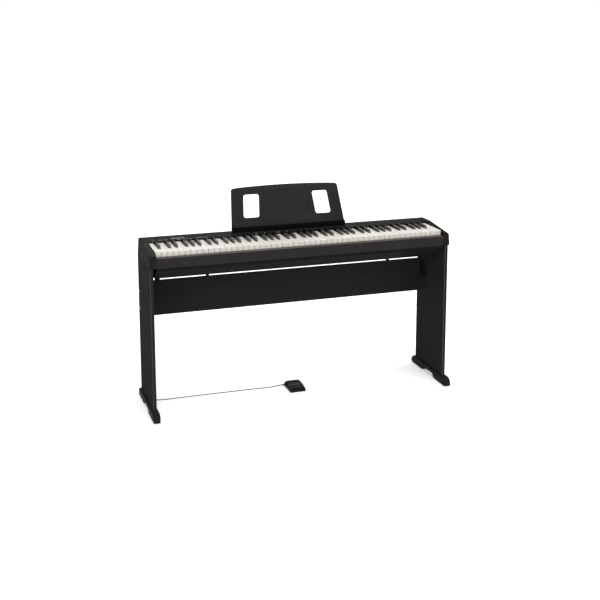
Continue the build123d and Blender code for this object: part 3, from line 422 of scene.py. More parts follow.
def rest_finishes():
    """The music rest, and the rubber of its ledge."""
    rest = Finish("rest_plastic", (0.0175, 0.0162, 0.0175), 0.5, 1.12)
    rest.mottled(0.04, (0.022, 0.0205, 0.0215), 0.6).varied(0.03, 0.46, 0.58)
    rest.bumped(0.0006, 0.00005, 0.5).wear_and_edge_highlight(0.0006, (0.035, 0.033, 0.034), 0.4)
    strip = Finish("ledge_rubber", (0.0035, 0.0033, 0.0036), 0.8, 1.12)
    strip.mottled(0.006, (0.005, 0.0048, 0.005), 0.7).bumped(0.0007, 0.00006, 0.6)


def stand_finishes():
    """The stand's feet, pads, brackets and screws."""
    foot = Finish("foot_plastic", (0.0100, 0.0098, 0.0102), 0.5, 1.10)
    foot.mottled(0.01, (0.014, 0.0135, 0.0135), 0.6).varied(0.008, 0.48, 0.64)
    foot.bumped(0.0010, 0.00010, 0.6).wear_and_edge_highlight(0.001, (0.035, 0.033, 0.032), 0.5)
    rubber = Finish("rubber_black", (0.0045, 0.0044, 0.0045), 0.85, 1.2)
    rubber.mottled(0.006, (0.008, 0.0078, 0.0075), 0.7).varied(0.005, 0.78, 0.92)
    rubber.bumped(0.0008, 0.0001, 0.7)
    bracket = Finish("bracket_steel", (0.0085, 0.0085, 0.0088), 0.6, 1.08)
    bracket.mottled(0.01, (0.0115, 0.0115, 0.012), 0.5).varied(0.006, 0.5, 0.66)
    bracket.bumped(0.0009, 0.00008, 0.6).wear_and_edge_highlight(0.0008, (0.05, 0.05, 0.05), 0.3)
    blacked = Finish("fastener_black", (0.007, 0.007, 0.0075), 0.6, 1.1)
    blacked.mottled(0.002, (0.011, 0.0108, 0.0105), 0.6).bumped(0.0004, 0.00003, 0.5)
    zinc = Finish("fastener_steel", (0.28, 0.28, 0.29), 0.34, 1.5, 1.0)
    zinc.mottled(0.002, (0.18, 0.175, 0.16), 0.7).varied(0.001, 0.26, 0.46)
    zinc.bumped(0.0004, 0.00002, 0.5).wear_and_edge_highlight(0.0004, (0.5, 0.5, 0.5), 0.6)


def key_finishes():
    """Ivory-like caps, and black keys with painted shade, darker and duller, on the rear of their tops."""
    ivory = Finish("ivory_white", (0.63, 0.60, 0.555), 0.42, 1.45)
    ivory.mottled(0.010, (0.66, 0.63, 0.58), 0.7, (1.0, 9.0, 1.0)).varied(0.004, 0.34, 0.50, (1.0, 6.0, 1.0))
    ivory.bumped(0.0006, 0.00003, 0.35, (1.0, 14.0, 1.0)).set("Subsurface Weight", 0.05)
    ivory.set("Subsurface Radius", (0.0012, 0.0009, 0.0006))
    ebony = Finish("ebony_black", (0.034, 0.0315, 0.0260), 0.42, 1.5)
    ebony.mottled(0.006, (0.046, 0.0425, 0.0350), 0.7, (1.0, 12.0, 1.0))
    ebony.varied(0.003, 0.36, 0.52, (1.0, 8.0, 1.0)).bumped(0.0005, 0.00004, 0.45, (1.0, 16.0, 1.0))
    ebony.wear_and_edge_highlight(0.0006, (0.065, 0.060, 0.051), 0.5)
    # Painted shade on the rear half of the black keys' tops: darker and duller.
    painted_shade_rear = ebony.band("Y", -0.004, 0.20, 0.006)
    ebony.painted_shade(painted_shade_rear, 0.04, (0.0030, 0.0028, 0.0026))


def inner_finishes():
    """What is inside the casing."""
    inner = Finish("frame_plastic", (0.10, 0.10, 0.095), 0.55)
    inner.mottled(0.03, (0.13, 0.13, 0.125), 0.5).bumped(0.0008, 0.00004, 0.4)
    steel = Finish("hammer_steel", (0.32, 0.32, 0.33), 0.38, 1.5, 1.0)
    steel.mottled(0.01, (0.22, 0.21, 0.19), 0.6).varied(0.004, 0.3, 0.5)
    board = Finish("circuit_board", (0.012, 0.10, 0.035), 0.35)
    board.mottled(0.003, (0.03, 0.19, 0.07), 0.9).bumped(0.0015, 0.00005, 0.5)
    basket = Finish("speaker_basket", (0.05, 0.05, 0.052), 0.45, 1.5, 0.6)
    basket.varied(0.004, 0.36, 0.55).bumped(0.0008, 0.00004, 0.4)
    paper = Finish("speaker_paper", (0.025, 0.024, 0.023), 0.9)
    paper.mottled(0.002, (0.05, 0.048, 0.044), 0.6).bumped(0.0006, 0.0001, 0.8)


def control_finishes():
    """Sockets, buttons and the print beside them."""
    socket = Finish("socket_plastic", (0.012, 0.012, 0.012), 0.38)
    socket.mottled(0.004, (0.018, 0.018, 0.018), 0.5).varied(0.003, 0.3, 0.46)
    shell = Finish("socket_metal", (0.55, 0.54, 0.51), 0.28, 1.5, 1.0)
    shell.mottled(0.003, (0.42, 0.41, 0.38), 0.6).varied(0.001, 0.2, 0.38)
    button = Finish("button_plastic", (0.030, 0.030, 0.031), 0.45, 1.45)
    button.mottled(0.003, (0.036, 0.036, 0.037), 0.6).varied(0.002, 0.38, 0.52)
    button.bumped(0.0004, 0.00002, 0.5)
    ink = Finish("print_ink", (0.46, 0.46, 0.45), 0.6)
    ink.mottled(0.0006, (0.36, 0.36, 0.35), 0.8).varied(0.001, 0.5, 0.7)


def pedal_finishes():
    """The pedal, its tread with painted highlight bands and painted shade on its rear quarter, its spring and
    its cord.
    """
    pedal = Finish("pedal_plastic", (0.0070, 0.0068, 0.0074), 0.34, 1.2)
    pedal.mottled(0.008, (0.0095, 0.0092, 0.0100), 0.6).varied(0.006, 0.30, 0.42)
    # Paler edges on the pedal: wear, made strong as a painted highlight.
    pedal.bumped(0.0006, 0.00005, 0.5).wear_and_edge_highlight(0.0008, (0.05, 0.05, 0.052), 0.7)
    tread = Finish("tread_plastic", (0.0105, 0.0102, 0.0118), 0.34, 1.10)
    tread.mottled(0.008, (0.014, 0.0136, 0.0152), 0.6).varied(0.006, 0.30, 0.42)
    # Painted shade on the tread's low rear quarter; painted highlights in a band across the crest and in a
    # thin line near the toe.
    tread.painted_band("Y", 0.024, 0.070, 0.002, (0.0040, 0.0039, 0.0045))
    tread.painted_band("Y", -0.001, 0.016, 0.004, (0.050, 0.049, 0.054))
    tread.painted_band("Y", -0.0175, -0.0135, 0.0008, (0.055, 0.054, 0.059))
    # Paler edges on the tread: wear, made strong as a painted highlight.
    tread.bumped(0.0006, 0.00005, 0.5).wear_and_edge_highlight(0.0008, (0.05, 0.05, 0.052), 0.5)
    wire = Finish("spring_steel", (0.50, 0.50, 0.51), 0.25, 1.5, 1.0)
    wire.mottled(0.001, (0.36, 0.36, 0.37), 0.6).varied(0.0008, 0.18, 0.34)
    cord = Finish("cord_pvc", (0.040, 0.0395, 0.040), 0.42, 1.5)
    cord.mottled(0.004, (0.055, 0.054, 0.054), 0.6).varied(0.004, 0.4, 0.58)
    cord.bumped(0.0004, 0.00002, 0.4)


def floor_finish():
    """A matt floor that glows a little."""
    floor = Finish("studio_floor", (0.93, 0.93, 0.93), 0.9, 1.05)
    floor.set("Emission Color", (1.0, 1.0, 1.0, 1.0)).set("Emission Strength", FLOOR_GLOW)
    floor.mottled(0.5, (0.95, 0.95, 0.95), 0.5)


for make_finishes in (board_finishes, shell_finishes, rest_finishes, stand_finishes, key_finishes,
                      inner_finishes, control_finishes, pedal_finishes, floor_finish):
    make_finishes()


# Nodes whose finish is a variant of their slot's.
SPECIAL_FINISH = {
    "back_board": "laminate_long",
    "left_side_panel": "laminate_upright",
    "right_side_panel": "laminate_upright",
    # The key slip's finish is painted lighter and the bottom case's painted darker, as lit and shaded copies
    # of the casing's plastic.
    "key_slip": "slip_plastic_painted_lighter",
    "bottom_case": "under_plastic_painted_darker",
    "bracket_screws": "fastener_black",
}


def paint_cad_nodes():
    """Gives every CAD node the finish of its material slot in the record."""
    for part in frame["record"]["subparts"]:
        name = part["node"]
        slot = SPECIAL_FINISH.get(name, part["material_slot"])
        node = frame["nodes"][name]
        for place in node.material_slots:
            place.material = materials[slot]
        if not node.material_slots:
            node.data.materials.append(materials[slot])


# ---- mesh helpers

def soften(bm, limit=math.radians(38)):
    """Smooth shading, except across edges that turn further than the limit."""
    for face in bm.faces:
        face.smooth = True
    for edge in bm.edges:
        edge.smooth = edge.is_manifold and edge.calc_face_angle() < limit


def add_piece(name, bm, finish, body, slot, *nodes):
    """Turns a bmesh into a piece that rides on a body and may stand for CAD nodes."""
    bmesh.ops.recalc_face_normals(bm, faces=bm.faces)
    soften(bm)
    mesh = bpy.data.meshes.new(name)
    bm.to_mesh(mesh)
    bm.free()
    mesh.materials.append(materials[finish])
    piece = bpy.data.objects.new(name, mesh)
    bpy.context.scene.collection.objects.link(piece)
    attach(piece, body)
    if nodes:
        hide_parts(*nodes)
    return piece


def prism(bm, outline, low, high):
    """A closed upright solid over an (x, y) outline; returns its lower and upper points."""
    floor = [bm.verts.new((x, y, low)) for x, y in outline]
    roof = [bm.verts.new((x, y, high)) for x, y in outline]
    bm.faces.new(floor[::-1])
    bm.faces.new(roof)
    for here in range(len(outline)):
        after = (here + 1) % len(outline)
        bm.faces.new((floor[here], floor[after], roof[after], roof[here]))
    return floor, roof


def edges_of(points):
    """The edges round a closed ring of points."""
    ring = zip(points, points[1:] + points[:1])
    found = [[e for e in a.link_edges if e.other_vert(a) is b] for a, b in ring]
    return [edges[0] for edges in found if edges]


def round_edges(bm, edges, radius, steps=3):
    bmesh.ops.bevel(bm, geom=edges, offset=radius, offset_type="OFFSET", segments=steps,
                    profile=0.5, affect="EDGES", clamp_overlap=True)


def loft(bm, rings):
    """A closed skin through rings of as many points each, with flat ends."""
    rows = [[bm.verts.new(point) for point in ring] for ring in rings]
    for one, other in zip(rows, rows[1:]):
        for here in range(len(one)):
            after = (here + 1) % len(one)
            bm.faces.new((one[here], one[after], other[after], other[here]))
    bm.faces.new(rows[0][::-1])
    bm.faces.new(rows[-1])
    return rows


def arc(centre, radius, start, end, steps=6):
    """Points on an arc, from one angle to another in degrees."""
    points = []
    for step in range(steps + 1):
        angle = math.radians(start + (end - start) * step / steps)
        points.append((centre[0] + radius * math.cos(angle), centre[1] + radius * math.sin(angle)))
    return points


def rounded(corners, radius, steps=6):
    """A closed outline with its corners rounded off."""
    points = []
    count = len(corners)
    for here in range(count):
        corner = Vector(corners[here])
        before = (Vector(corners[here - 1]) - corner).normalized()
        after = (Vector(corners[(here + 1) % count]) - corner).normalized()
        half = before.angle(after) / 2
        middle = corner + (before + after).normalized() * radius / math.sin(half)
        first = corner + before * radius / math.tan(half) - middle
        last = corner + after * radius / math.tan(half) - middle
        for step in range(steps + 1):
            way = first.lerp(last, step / steps).normalized() * radius
            points.append(tuple(middle + way))
    return points


def rectangle(left, front, right, rear):
    """The corners of a rectangle in plan, anticlockwise."""
    return [(left, front), (right, front), (right, rear), (left, rear)]


# ---- the cord

def coil_place(turn):
    """Radius and height of one turn: outside, inside, and back out on the next layer."""
    order = ((COIL_OUTER, 0), (COIL_INNER, 0), (COIL_INNER, 1), (COIL_OUTER, 1), (COIL_OUTER, 2))
    radius, layer = order[min(max(turn, 0), len(order) - 1)]
    return radius, COIL_LAYERS[layer]


def coil_turns():
    """Points of the wound slack, whose turns lie beside and on each other, a diameter apart."""
    spread = 1.0 / math.cos(math.pi / COIL_POINTS)
    steps = int(COIL_END / 360.0 * COIL_POINTS)
    points = []
    for step in range(1, steps + 1):
        angle = step * 360.0 / COIL_POINTS
        turn = int((angle - STEP_FROM) // 360.0) + 1
        moved = min(1.0, max(0.0, (angle - STEP_FROM - 360.0 * (turn - 1)) / (STEP_TO - STEP_FROM)))
        here = coil_place(turn - 1)
        there = coil_place(turn)
        share = moved * moved * (3 - 2 * moved)
        radius = here[0] + share * (there[0] - here[0])
        height = here[1] + share * (there[1] - here[1])
        x = COIL_CENTRE[0] + spread * radius * math.cos(math.radians(angle))
        y = COIL_CENTRE[1] + spread * radius * math.sin(math.radians(angle))
        points.append((x, y, height))
    return points


def add_cord():
    """The pedal's cord: over the floor, round the coil, up to the socket behind the piano."""
    route = FLOOR_ROUTE + coil_turns() + RISE_ROUTE
    curve = bpy.data.curves.new("pedal_lead", "CURVE")
    curve.dimensions = "3D"
    spline = curve.splines.new("NURBS")
    spline.points.add(len(route) - 1)
    for point, place in zip(spline.points, route):
        point.co = (*place, 1.0)
    spline.order_u = 3
    spline.use_endpoint_u = True
    spline.resolution_u = 6
    curve.bevel_depth = CORD_DIAMETER / 2
    curve.bevel_resolution = 3
    curve.use_fill_caps = True
    curve.materials.append(materials["cord_pvc"])
    lead = bpy.data.objects.new("pedal_lead", curve)
    bpy.context.scene.collection.objects.link(lead)
    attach(lead, "root")
    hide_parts("pedal_cord", "pedal_cord_coil", "pedal_cord_rise")
    return lead


# ---- the keys

def note_letter(index):
    return LETTERS[index % 7]


def key_name(index):
    """Letter and octave of a white key, as the CAD nodes are named."""
    return note_letter(index).lower() + str((index + 5) // 7)


def has_sharp(index):
    """True where a black key stands between this white key and the next."""
    return 0 <= index < WHITE_COUNT - 1 and note_letter(index) in SHARP_SHIFT


def sharp_centre(index):
    """Middle of the black key to the right of a white key."""
    return KEY_START + KEY_PITCH * (index + 1) + SHARP_SHIFT[note_letter(index)]


def white_outline(index, side, front):
    """A white key's (x, y) outline, drawn in at its sides and at its front."""
    left = KEY_START + KEY_PITCH * index + KEY_GAP / 2
    right = left + KEY_PITCH - KEY_GAP
    neck_left = left
    neck_right = right
    reach = BLACK_WIDTH / 2 + SHARP_CLEARANCE
    if has_sharp(index - 1):
        neck_left = sharp_centre(index - 1) + reach
    if has_sharp(index):
        neck_right = sharp_centre(index) - reach
    nose = WHITE_FRONT + front
    shoulder = WHITE_FRONT + HEAD_LENGTH - side
    outline = [(left + side, nose), (right - side, nose), (right - side, shoulder)]
    if neck_right < right:
        outline.append((neck_right - side, shoulder))
    outline += [(neck_right - side, TAIL_END - side), (neck_left + side, TAIL_END - side)]
    if neck_left > left:
        outline.append((neck_left + side, shoulder))
    outline.append((left + side, shoulder))
    return [point for point, after in zip(outline, outline[1:] + outline[:1]) if point != after]


def hinge_rocker(bm, x0, x1, under):
    """The round boss under a key's tail, and the web that carries it."""
    outline = arc((HINGE_Y, HINGE_Z), HINGE_RADIUS, 180, 360, 8)
    outline += [(HINGE_Y + HINGE_WEB, under), (HINGE_Y - HINGE_WEB, under)]
    loft(bm, [[(x, y, z) for y, z in outline] for x in (x0, x1)])


def white_key(bm, index):
    """A thin cap with soft edges, standing a little proud of the body under it."""
    plate = WHITE_TOP - KEY_PLATE
    roof = prism(bm, white_outline(index, 0.0, 0.0), plate, WHITE_TOP)[1]
    round_edges(bm, edges_of(roof), CAP_ROUND)
    body = white_outline(index, *BODY_INSET)
    prism(bm, body, WHITE_TOP - WHITE_DEPTH, plate + 0.0002)
    xs = [x for x, y in body if y > HINGE_Y]
    hinge_rocker(bm, min(xs), max(xs), WHITE_TOP - WHITE_DEPTH + OVERLAP)


def black_key(bm, index):
    """A tapered key with a sloping nose and rounded edges, and its low tail."""
    x = sharp_centre(index)
    levels = (
        (BLACK_BOTTOM, BLACK_WIDTH / 2, BLACK_FRONT, BLACK_BACK),
        (WHITE_TOP + 0.0006, BLACK_WIDTH / 2, BLACK_FRONT, BLACK_BACK),
        (BLACK_TOP, BLACK_TOP_WIDTH / 2, BLACK_FRONT + BLACK_NOSE, BLACK_BACK - BLACK_FALL),
    )
    rings = []
    for z, half, front, back in levels:
        rings.append([(a, b, z) for a, b in rectangle(x - half, front, x + half, back)])
    rows = loft(bm, rings)
    risers = [e for v in rows[1] for e in v.link_edges if e.other_vert(v) in rows[2]]
    round_edges(bm, edges_of(rows[2]) + risers, BLACK_ROUND, 4)
    half = BLACK_TOP_WIDTH / 2 - 0.0002
    tail = rectangle(x - half, BLACK_BACK - 0.002, x + half, TAIL_END)
    prism(bm, tail, BLACK_BOTTOM, WHITE_TOP - 0.002)
    hinge_rocker(bm, x - half, x + half, BLACK_BOTTOM + OVERLAP)


def add_key_piece(draw, indices, name, body, slot, node):
    bm = bmesh.new()
    for index in indices:
        draw(bm, index)
    add_piece(name, bm, slot, body, slot, node)


def add_keys():
    """One piece for each solo key, and one for each group of keys that move together."""
    for index in range(FIRST_SOLO_KEY, LAST_SOLO_KEY + 1):
        name = key_name(index)
        white = f"white_key_{name}"
        add_key_piece(white_key, [index], f"{white}_moulding", f"key_{name}", "ivory_white", white)
        if has_sharp(index):
            black = f"black_key_{name}_sharp"
            add_key_piece(black_key, [index], f"{black}_moulding", f"key_{name}_sharp", "ebony_black", black)
    groups = (("bass", range(FIRST_SOLO_KEY)), ("treble", range(LAST_SOLO_KEY + 1, WHITE_COUNT)))
    for label, indices in groups:
        sharps = [index for index in indices if has_sharp(index)]
        body = f"keys_{label}"
        add_key_piece(white_key, indices, f"white_keys_{label}_mouldings", body, "ivory_white",
                      f"white_keys_{label}")
        add_key_piece(black_key, sharps, f"black_keys_{label}_mouldings", body, "ebony_black",
                      f"black_keys_{label}")


# ---- the music rest

def crown_height(x):
    """Height of the plate's gently arched top edge."""
    return REST_HEIGHT - REST_CROWN * (x / REST_TOP) ** 2


def plate_outline():
    """The plate: sloping sides, rounded top corners and an arched top edge."""
    shoulder = REST_HEIGHT - REST_CROWN
    corners = [(-REST_BOTTOM, -PLATE_SINK), (REST_BOTTOM, -PLATE_SINK)]
    corners += [(REST_TOP, shoulder), (-REST_TOP, shoulder)]
    outline = rounded(corners, REST_CORNER)
    low = rounded(corners, REST_LOW_CORNER)
    base = [point for point in low if point[1] < 0.01]
    top = [point for point in outline if point[1] > shoulder / 2]
    right = [point for point in top if point[0] > 0]
    left = [point for point in top if point[0] < 0]
    reach = REST_TOP - REST_CORNER
    crown = [(reach * (1 - step / 10), crown_height(reach * (1 - step / 10))) for step in range(1, 20)]
    return base + right + crown + left


def window_outline(side):
    """A rounded window whose sides lean in as the plate's own sides do."""
    lean = (REST_BOTTOM - REST_TOP) / (REST_HEIGHT - REST_CROWN)
    middle = (WINDOW_LOW + WINDOW_HIGH) / 2
    corners = []
    for edge, z in ((-1, WINDOW_LOW), (1, WINDOW_LOW), (1, WINDOW_HIGH), (-1, WINDOW_HIGH)):
        x = WINDOW_X + edge * WINDOW_WIDTH / 2 - lean * (z - middle)
        corners.append((side * x, z))
    return rounded(corners, WINDOW_CORNER)


def evaluated_mesh(holder):
    """The mesh that an object's modifiers or curve settings give."""
    graph = bpy.context.evaluated_depsgraph_get()
    return bpy.data.meshes.new_from_object(holder.evaluated_get(graph))


def flat_mesh(outlines, half, bevel):
    """A flat plate over outlines with holes, with rounded edges, as a mesh in (x, z)."""
    curve = bpy.data.curves.new("outline", "CURVE")
    curve.dimensions = "2D"
    curve.fill_mode = "BOTH"
    for outline in outlines:
        spline = curve.splines.new("POLY")
        spline.points.add(len(outline) - 1)
        for point, (x, z) in zip(spline.points, outline):
            point.co = (x, z, 0.0, 1.0)
        spline.use_cyclic_u = True
    curve.extrude = half - bevel
    curve.bevel_depth = bevel
    curve.bevel_resolution = 2
    curve.offset = -bevel
    holder = bpy.data.objects.new("outline", curve)
    bpy.context.scene.collection.objects.link(holder)
    mesh = evaluated_mesh(holder)
    bpy.data.objects.remove(holder)
    bpy.data.curves.remove(curve)
    mesh.transform(Matrix.Rotation(math.radians(90), 4, "X"))
    return mesh


def rest_place():
    """From the plate's own frame to the model's."""
    return Matrix.Translation(REST_FOOT) @ Matrix.Rotation(-REST_TILT, 4, "X")


def merged(bm, mesh):
    """Adds a mesh to a bmesh and closes the seams between its coincident points."""
    bm.from_mesh(mesh)
    bpy.data.meshes.remove(mesh)
    bmesh.ops.remove_doubles(bm, verts=bm.verts, dist=0.000005)


def box_between(bm, low, high, radius):
    """A block between two corners with all its edges rounded."""
    outline = rectangle(low[0], low[1], high[0], high[1])
    floor, roof = prism(bm, outline, low[2], high[2])
    edges = {edge for vert in floor + roof for edge in vert.link_edges}
    round_edges(bm, list(edges), radius, 2)


def carved(bm, cutter_bm):
    """The first solid with the second cut out of it."""
    holders = []
    for source in (bm, cutter_bm):
        mesh = bpy.data.meshes.new("carving")
        source.to_mesh(mesh)
        source.free()
        holder = bpy.data.objects.new("carving", mesh)
        bpy.context.scene.collection.objects.link(holder)
        holders.append(holder)
    cut = holders[0].modifiers.new("cut", "BOOLEAN")
    cut.operation = "DIFFERENCE"
    cut.solver = "EXACT"
    cut.object = holders[1]
    done = evaluated_mesh(holders[0])
    result = bmesh.new()
    result.from_mesh(done)
    bpy.data.meshes.remove(done)
    for holder in holders:
        bpy.data.meshes.remove(holder.data)
    return result


def recess_cutter():
    """The solid that leaves a shallow recess in the plate's front face."""
    front = -REST_THICK / 2
    corners = rectangle(-RECESS_HALF, RECESS_LOW, RECESS_HALF, RECESS_HIGH)
    outer = [(x, front - 0.001, z) for x, z in rounded(corners, RECESS_CORNER)]
    inner = [(x * 0.996, front + RECESS_DEPTH, z) for x, _, z in outer]
    bm = bmesh.new()
    loft(bm, [outer, inner])
    bmesh.ops.recalc_face_normals(bm, faces=bm.faces)
    return bm


def add_rest_ribs(bm):
    """Four upright ribs and a cross rib on the plate's rear face."""
    root = REST_THICK / 2 - RIB_ROOT
    crest = REST_THICK / 2 + RIB_HEIGHT
    for x in RIB_PLACES:
        box_between(bm, (x - RIB_HALF, root, RIB_LOW), (x + RIB_HALF, crest, RIB_HIGH), 0.0005)
    box_between(bm, (-CROSS_RIB_HALF, root, RIB_LOW - 0.002), (CROSS_RIB_HALF, crest, RIB_LOW), 0.0005)


def add_rest_plate():
    """The plate with its windows, a shallow recess, ribs behind it and the tab below it."""
    outlines = [plate_outline(), window_outline(1), window_outline(-1)]
    bm = bmesh.new()
    merged(bm, flat_mesh(outlines, REST_THICK / 2, REST_EDGE))
    bmesh.ops.recalc_face_normals(bm, faces=bm.faces)
    bm = carved(bm, recess_cutter())
    add_rest_ribs(bm)
    face = REST_THICK / 2
    box_between(bm, (-TAB_HALF, -face, -TAB_DEPTH), (TAB_HALF, face, -PLATE_SINK + 0.001), 0.0007)
    bmesh.ops.transform(bm, matrix=rest_place(), verts=bm.verts)
    add_piece("music_rest_plate", bm, "rest_plastic", "music_rest", "rest_plastic", "music_rest")


def ledge_profile():
    """The ledge's section: a grooved face, a round nose and a flat back for the plate."""
    profile = [(LEDGE_FRONT + 0.001, LEDGE_BOTTOM), (LEDGE_FRONT, LEDGE_BOTTOM + 0.001)]
    for groove in LEDGE_GROOVES:
        profile += [(LEDGE_FRONT, groove - 0.0007), (LEDGE_FRONT + 0.0006, groove - 0.0003),
                    (LEDGE_FRONT + 0.0006, groove + 0.0003), (LEDGE_FRONT, groove + 0.0007)]
    profile += arc((LEDGE_FRONT + LEDGE_NOSE, LEDGE_TOP - LEDGE_NOSE), LEDGE_NOSE, 180, 0)
    profile += [(LEDGE_FRONT + 0.0032, LEDGE_TOP - 0.0024), (LEDGE_REAR, LEDGE_TOP - 0.0026)]
    return profile + [(LEDGE_REAR, LEDGE_BOTTOM)]


def add_rest_ledge():
    """The black ledge along the plate's foot, drawn in a little at both ends."""
    profile = ledge_profile()
    past = REST_BOTTOM + 0.0003
    full = REST_BOTTOM - LEDGE_ROUND
    middle = Vector(((LEDGE_FRONT + LEDGE_REAR) / 2, (LEDGE_BOTTOM + LEDGE_TOP) / 2))
    rings = []
    for x, inset in ((-past, LEDGE_ROUND), (-full, 0.0), (full, 0.0), (past, LEDGE_ROUND)):
        shrink = 1.0 - inset / (middle.x - LEDGE_FRONT)
        drawn = [middle + (Vector(point) - middle) * shrink for point in profile]
        rings.append([(x, point.x, point.y) for point in drawn])
    bm = bmesh.new()
    loft(bm, rings)
    add_piece("music_rest_ledge", bm, "ledge_rubber", "music_rest", "rubber_black")


# ---- the feet

def foot_top(y):
    """Height of the foot, which falls in a long round nose at each end."""
    past = (abs(y) - FOOT_FLAT) / (FOOT_HALF_LENGTH - FOOT_FLAT)
    if past <= 0:
        return FOOT_TOP
    share = max(0.0, 1 - past ** 2.6) ** 0.6
    return FOOT_BOTTOM + FOOT_TIP + (FOOT_TOP - FOOT_BOTTOM - FOOT_TIP) * share


def foot_underside(y):
    """The arch between the foot's two bearing ends."""
    rise = min((y - ARCH_FRONT) / ARCH_SLOPE, (ARCH_REAR - y) / ARCH_SLOPE)
    share = min(1.0, max(0.0, rise))
    return FOOT_BOTTOM + (FOOT_ARCH - FOOT_BOTTOM) * share * share * (3 - 2 * share)


def foot_ring(x, y, shrink):
    """A section of the foot, well rounded above and a little below."""
    low = foot_underside(y)
    high = foot_top(y)
    half = (FOOT_WIDTH / 2) * shrink
    big = min(0.0045, (high - low) * 0.45)
    small = min(0.0015, (high - low) * 0.3)
    ring = arc((x + half - big, high - big), big, 0, 90)
    ring += arc((x - half + big, high - big), big, 90, 180)
    ring += arc((x - half + small, low + small), small, 180, 270, 3)
    ring += arc((x + half - small, low + small), small, 270, 360, 3)
    return [(across, y, z) for across, z in ring]


def add_feet():
    """A moulded foot under each side panel."""
    count = 96
    for name in ("left_foot", "right_foot"):
        low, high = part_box(name)
        x = (low[0] + high[0]) / 2
        rings = []
        for step in range(count + 1):
            y = -FOOT_HALF_LENGTH * math.cos(math.pi * step / count)
            past = max(0.0, (abs(y) - FOOT_FLAT) / (FOOT_HALF_LENGTH - FOOT_FLAT))
            rings.append(foot_ring(x, y, 1.0 - FOOT_TAPER * past ** 4))
        bm = bmesh.new()
        loft(bm, rings)
        add_piece(f"{name}_moulding", bm, "foot_plastic", "root", "foot_plastic", name)


# ---- the pedal

def pedal_ring(inset, radius, z):
    """A rounded rectangle in plan, inside the pedal base's outline."""
    half = PEDAL_HALF - inset
    corners = rectangle(PEDAL_X - half, PEDAL_FRONT + inset, PEDAL_X + half, PEDAL_REAR - inset)
    return [(x, y, z) for x, y in rounded(corners, radius)]


def spring_peg(bm, low, high):
    """A round peg that holds one end of the return spring."""
    outline = arc((PEDAL_X, SPRING_Y), PEG_RADIUS, 0, 330, 11)
    prism(bm, outline, low, high)


def add_pedal_base():
    """The low housing: a rim round a pocket, a step near the floor and two ears for the pin."""
    rings = [
        pedal_ring(0.0008, 0.0045, PEDAL_BOTTOM),
        pedal_ring(0.0, 0.005, PEDAL_BOTTOM + 0.0008),
        pedal_ring(0.0, 0.005, 0.0042),
        pedal_ring(0.0006, 0.0046, 0.0046),
        pedal_ring(0.0006, 0.0046, 0.0118),
        pedal_ring(0.0010, 0.0044, 0.0126),
        pedal_ring(0.0018, 0.0040, PEDAL_TOP),
        pedal_ring(0.0026, 0.0034, PEDAL_TOP),
        pedal_ring(0.0031, 0.0030, PEDAL_TOP - 0.0006),
        pedal_ring(0.0034, 0.0026, 0.0045),
    ]
    bm = bmesh.new()
    loft(bm, rings)
    ear = [(PIVOT_Y + 0.005, 0.0046)] + arc((PIVOT_Y, 0.014), 0.005, 0, 180, 12) + [(PIVOT_Y - 0.005, 0.0046)]
    for side in (-1, 1):
        outside = PEDAL_X + side * (PEDAL_HALF - 0.0002)
        inside = PEDAL_X + side * (PEDAL_HALF - 0.003)
        rows = loft(bm, [[(x, y, z) for y, z in ear] for x in (outside, inside)])
        round_edges(bm, edges_of(rows[0]) + edges_of(rows[1]), 0.0006, 2)
    spring_peg(bm, 0.0040, 0.0075)
    add_piece("pedal_base_moulding", bm, "pedal_plastic", "root", "pedal_plastic", "pedal_base")


def tread_crest(y):
    """The tread's arched top: low at the toe, highest in the middle."""
    if y < CREST_Y:
        return CREST_Z - TOE_FALL * ((CREST_Y - y) / (CREST_Y - TREAD_FRONT)) ** 2
    return CREST_Z - HEEL_FALL * ((y - CREST_Y) / (TREAD_REAR - CREST_Y)) ** 2


def tread_under(y):
    """The tread's underside, which rises from behind the toe to under the crest."""
    if y < HOLLOW_FRONT:
        return UNDER_LOW + 0.0025 * (HOLLOW_FRONT - y) / (HOLLOW_FRONT - TREAD_FRONT)
    if y < CREST_Y:
        return UNDER_LOW + (UNDER_HIGH - UNDER_LOW) * (y - HOLLOW_FRONT) / (CREST_Y - HOLLOW_FRONT)
    return UNDER_HIGH - 0.002 * (y - CREST_Y) / (TREAD_REAR - CREST_Y)


def tread_relief(y):
    """Two rounded ridges with fine grooves between them, and a low flat rear quarter."""
    relief = 0.0
    for ridge in RIDGES:
        away = abs(y - ridge) / RIDGE_HALF
        relief = max(relief, RIDGE_HEIGHT * (1 - away * away))
    for row in range(GROOVE_COUNT):
        away = abs(y - GROOVE_START - row * GROOVE_PITCH) / 0.0011
        if away < 1.0:
            relief -= 0.0007 * (1 - away * away)
    share = min(1.0, max(0.0, (y - STEP_Y) / 0.002))
    return relief * (1 - share) - STEP_DROP * share


def tread_ring(y):
    """A section across the tread: a rounded, ribbed top and a flat underside."""
    top = []
    columns = 28
    for step in range(columns + 1):
        x = -TREAD_HALF * math.cos(math.pi * step / columns)
        edge = max(0.0, (abs(x) - TREAD_HALF + 0.0024) / 0.0024)
        fall = 0.0022 * (1 - math.sqrt(max(0.0, 1 - edge * edge)))
        crown = 0.0006 * (x / TREAD_HALF) ** 2
        relief = tread_relief(y) if abs(x) < TREAD_HALF - 0.004 else min(0.0, tread_relief(y))
        height = max(tread_crest(y) - fall - crown + relief, tread_under(y) + 0.0012)
        top.append((PEDAL_X + x, y, height))
    under = tread_under(y)
    return top + [(PEDAL_X + TREAD_HALF - 0.0004, y, under), (PEDAL_X - TREAD_HALF + 0.0004, y, under)]


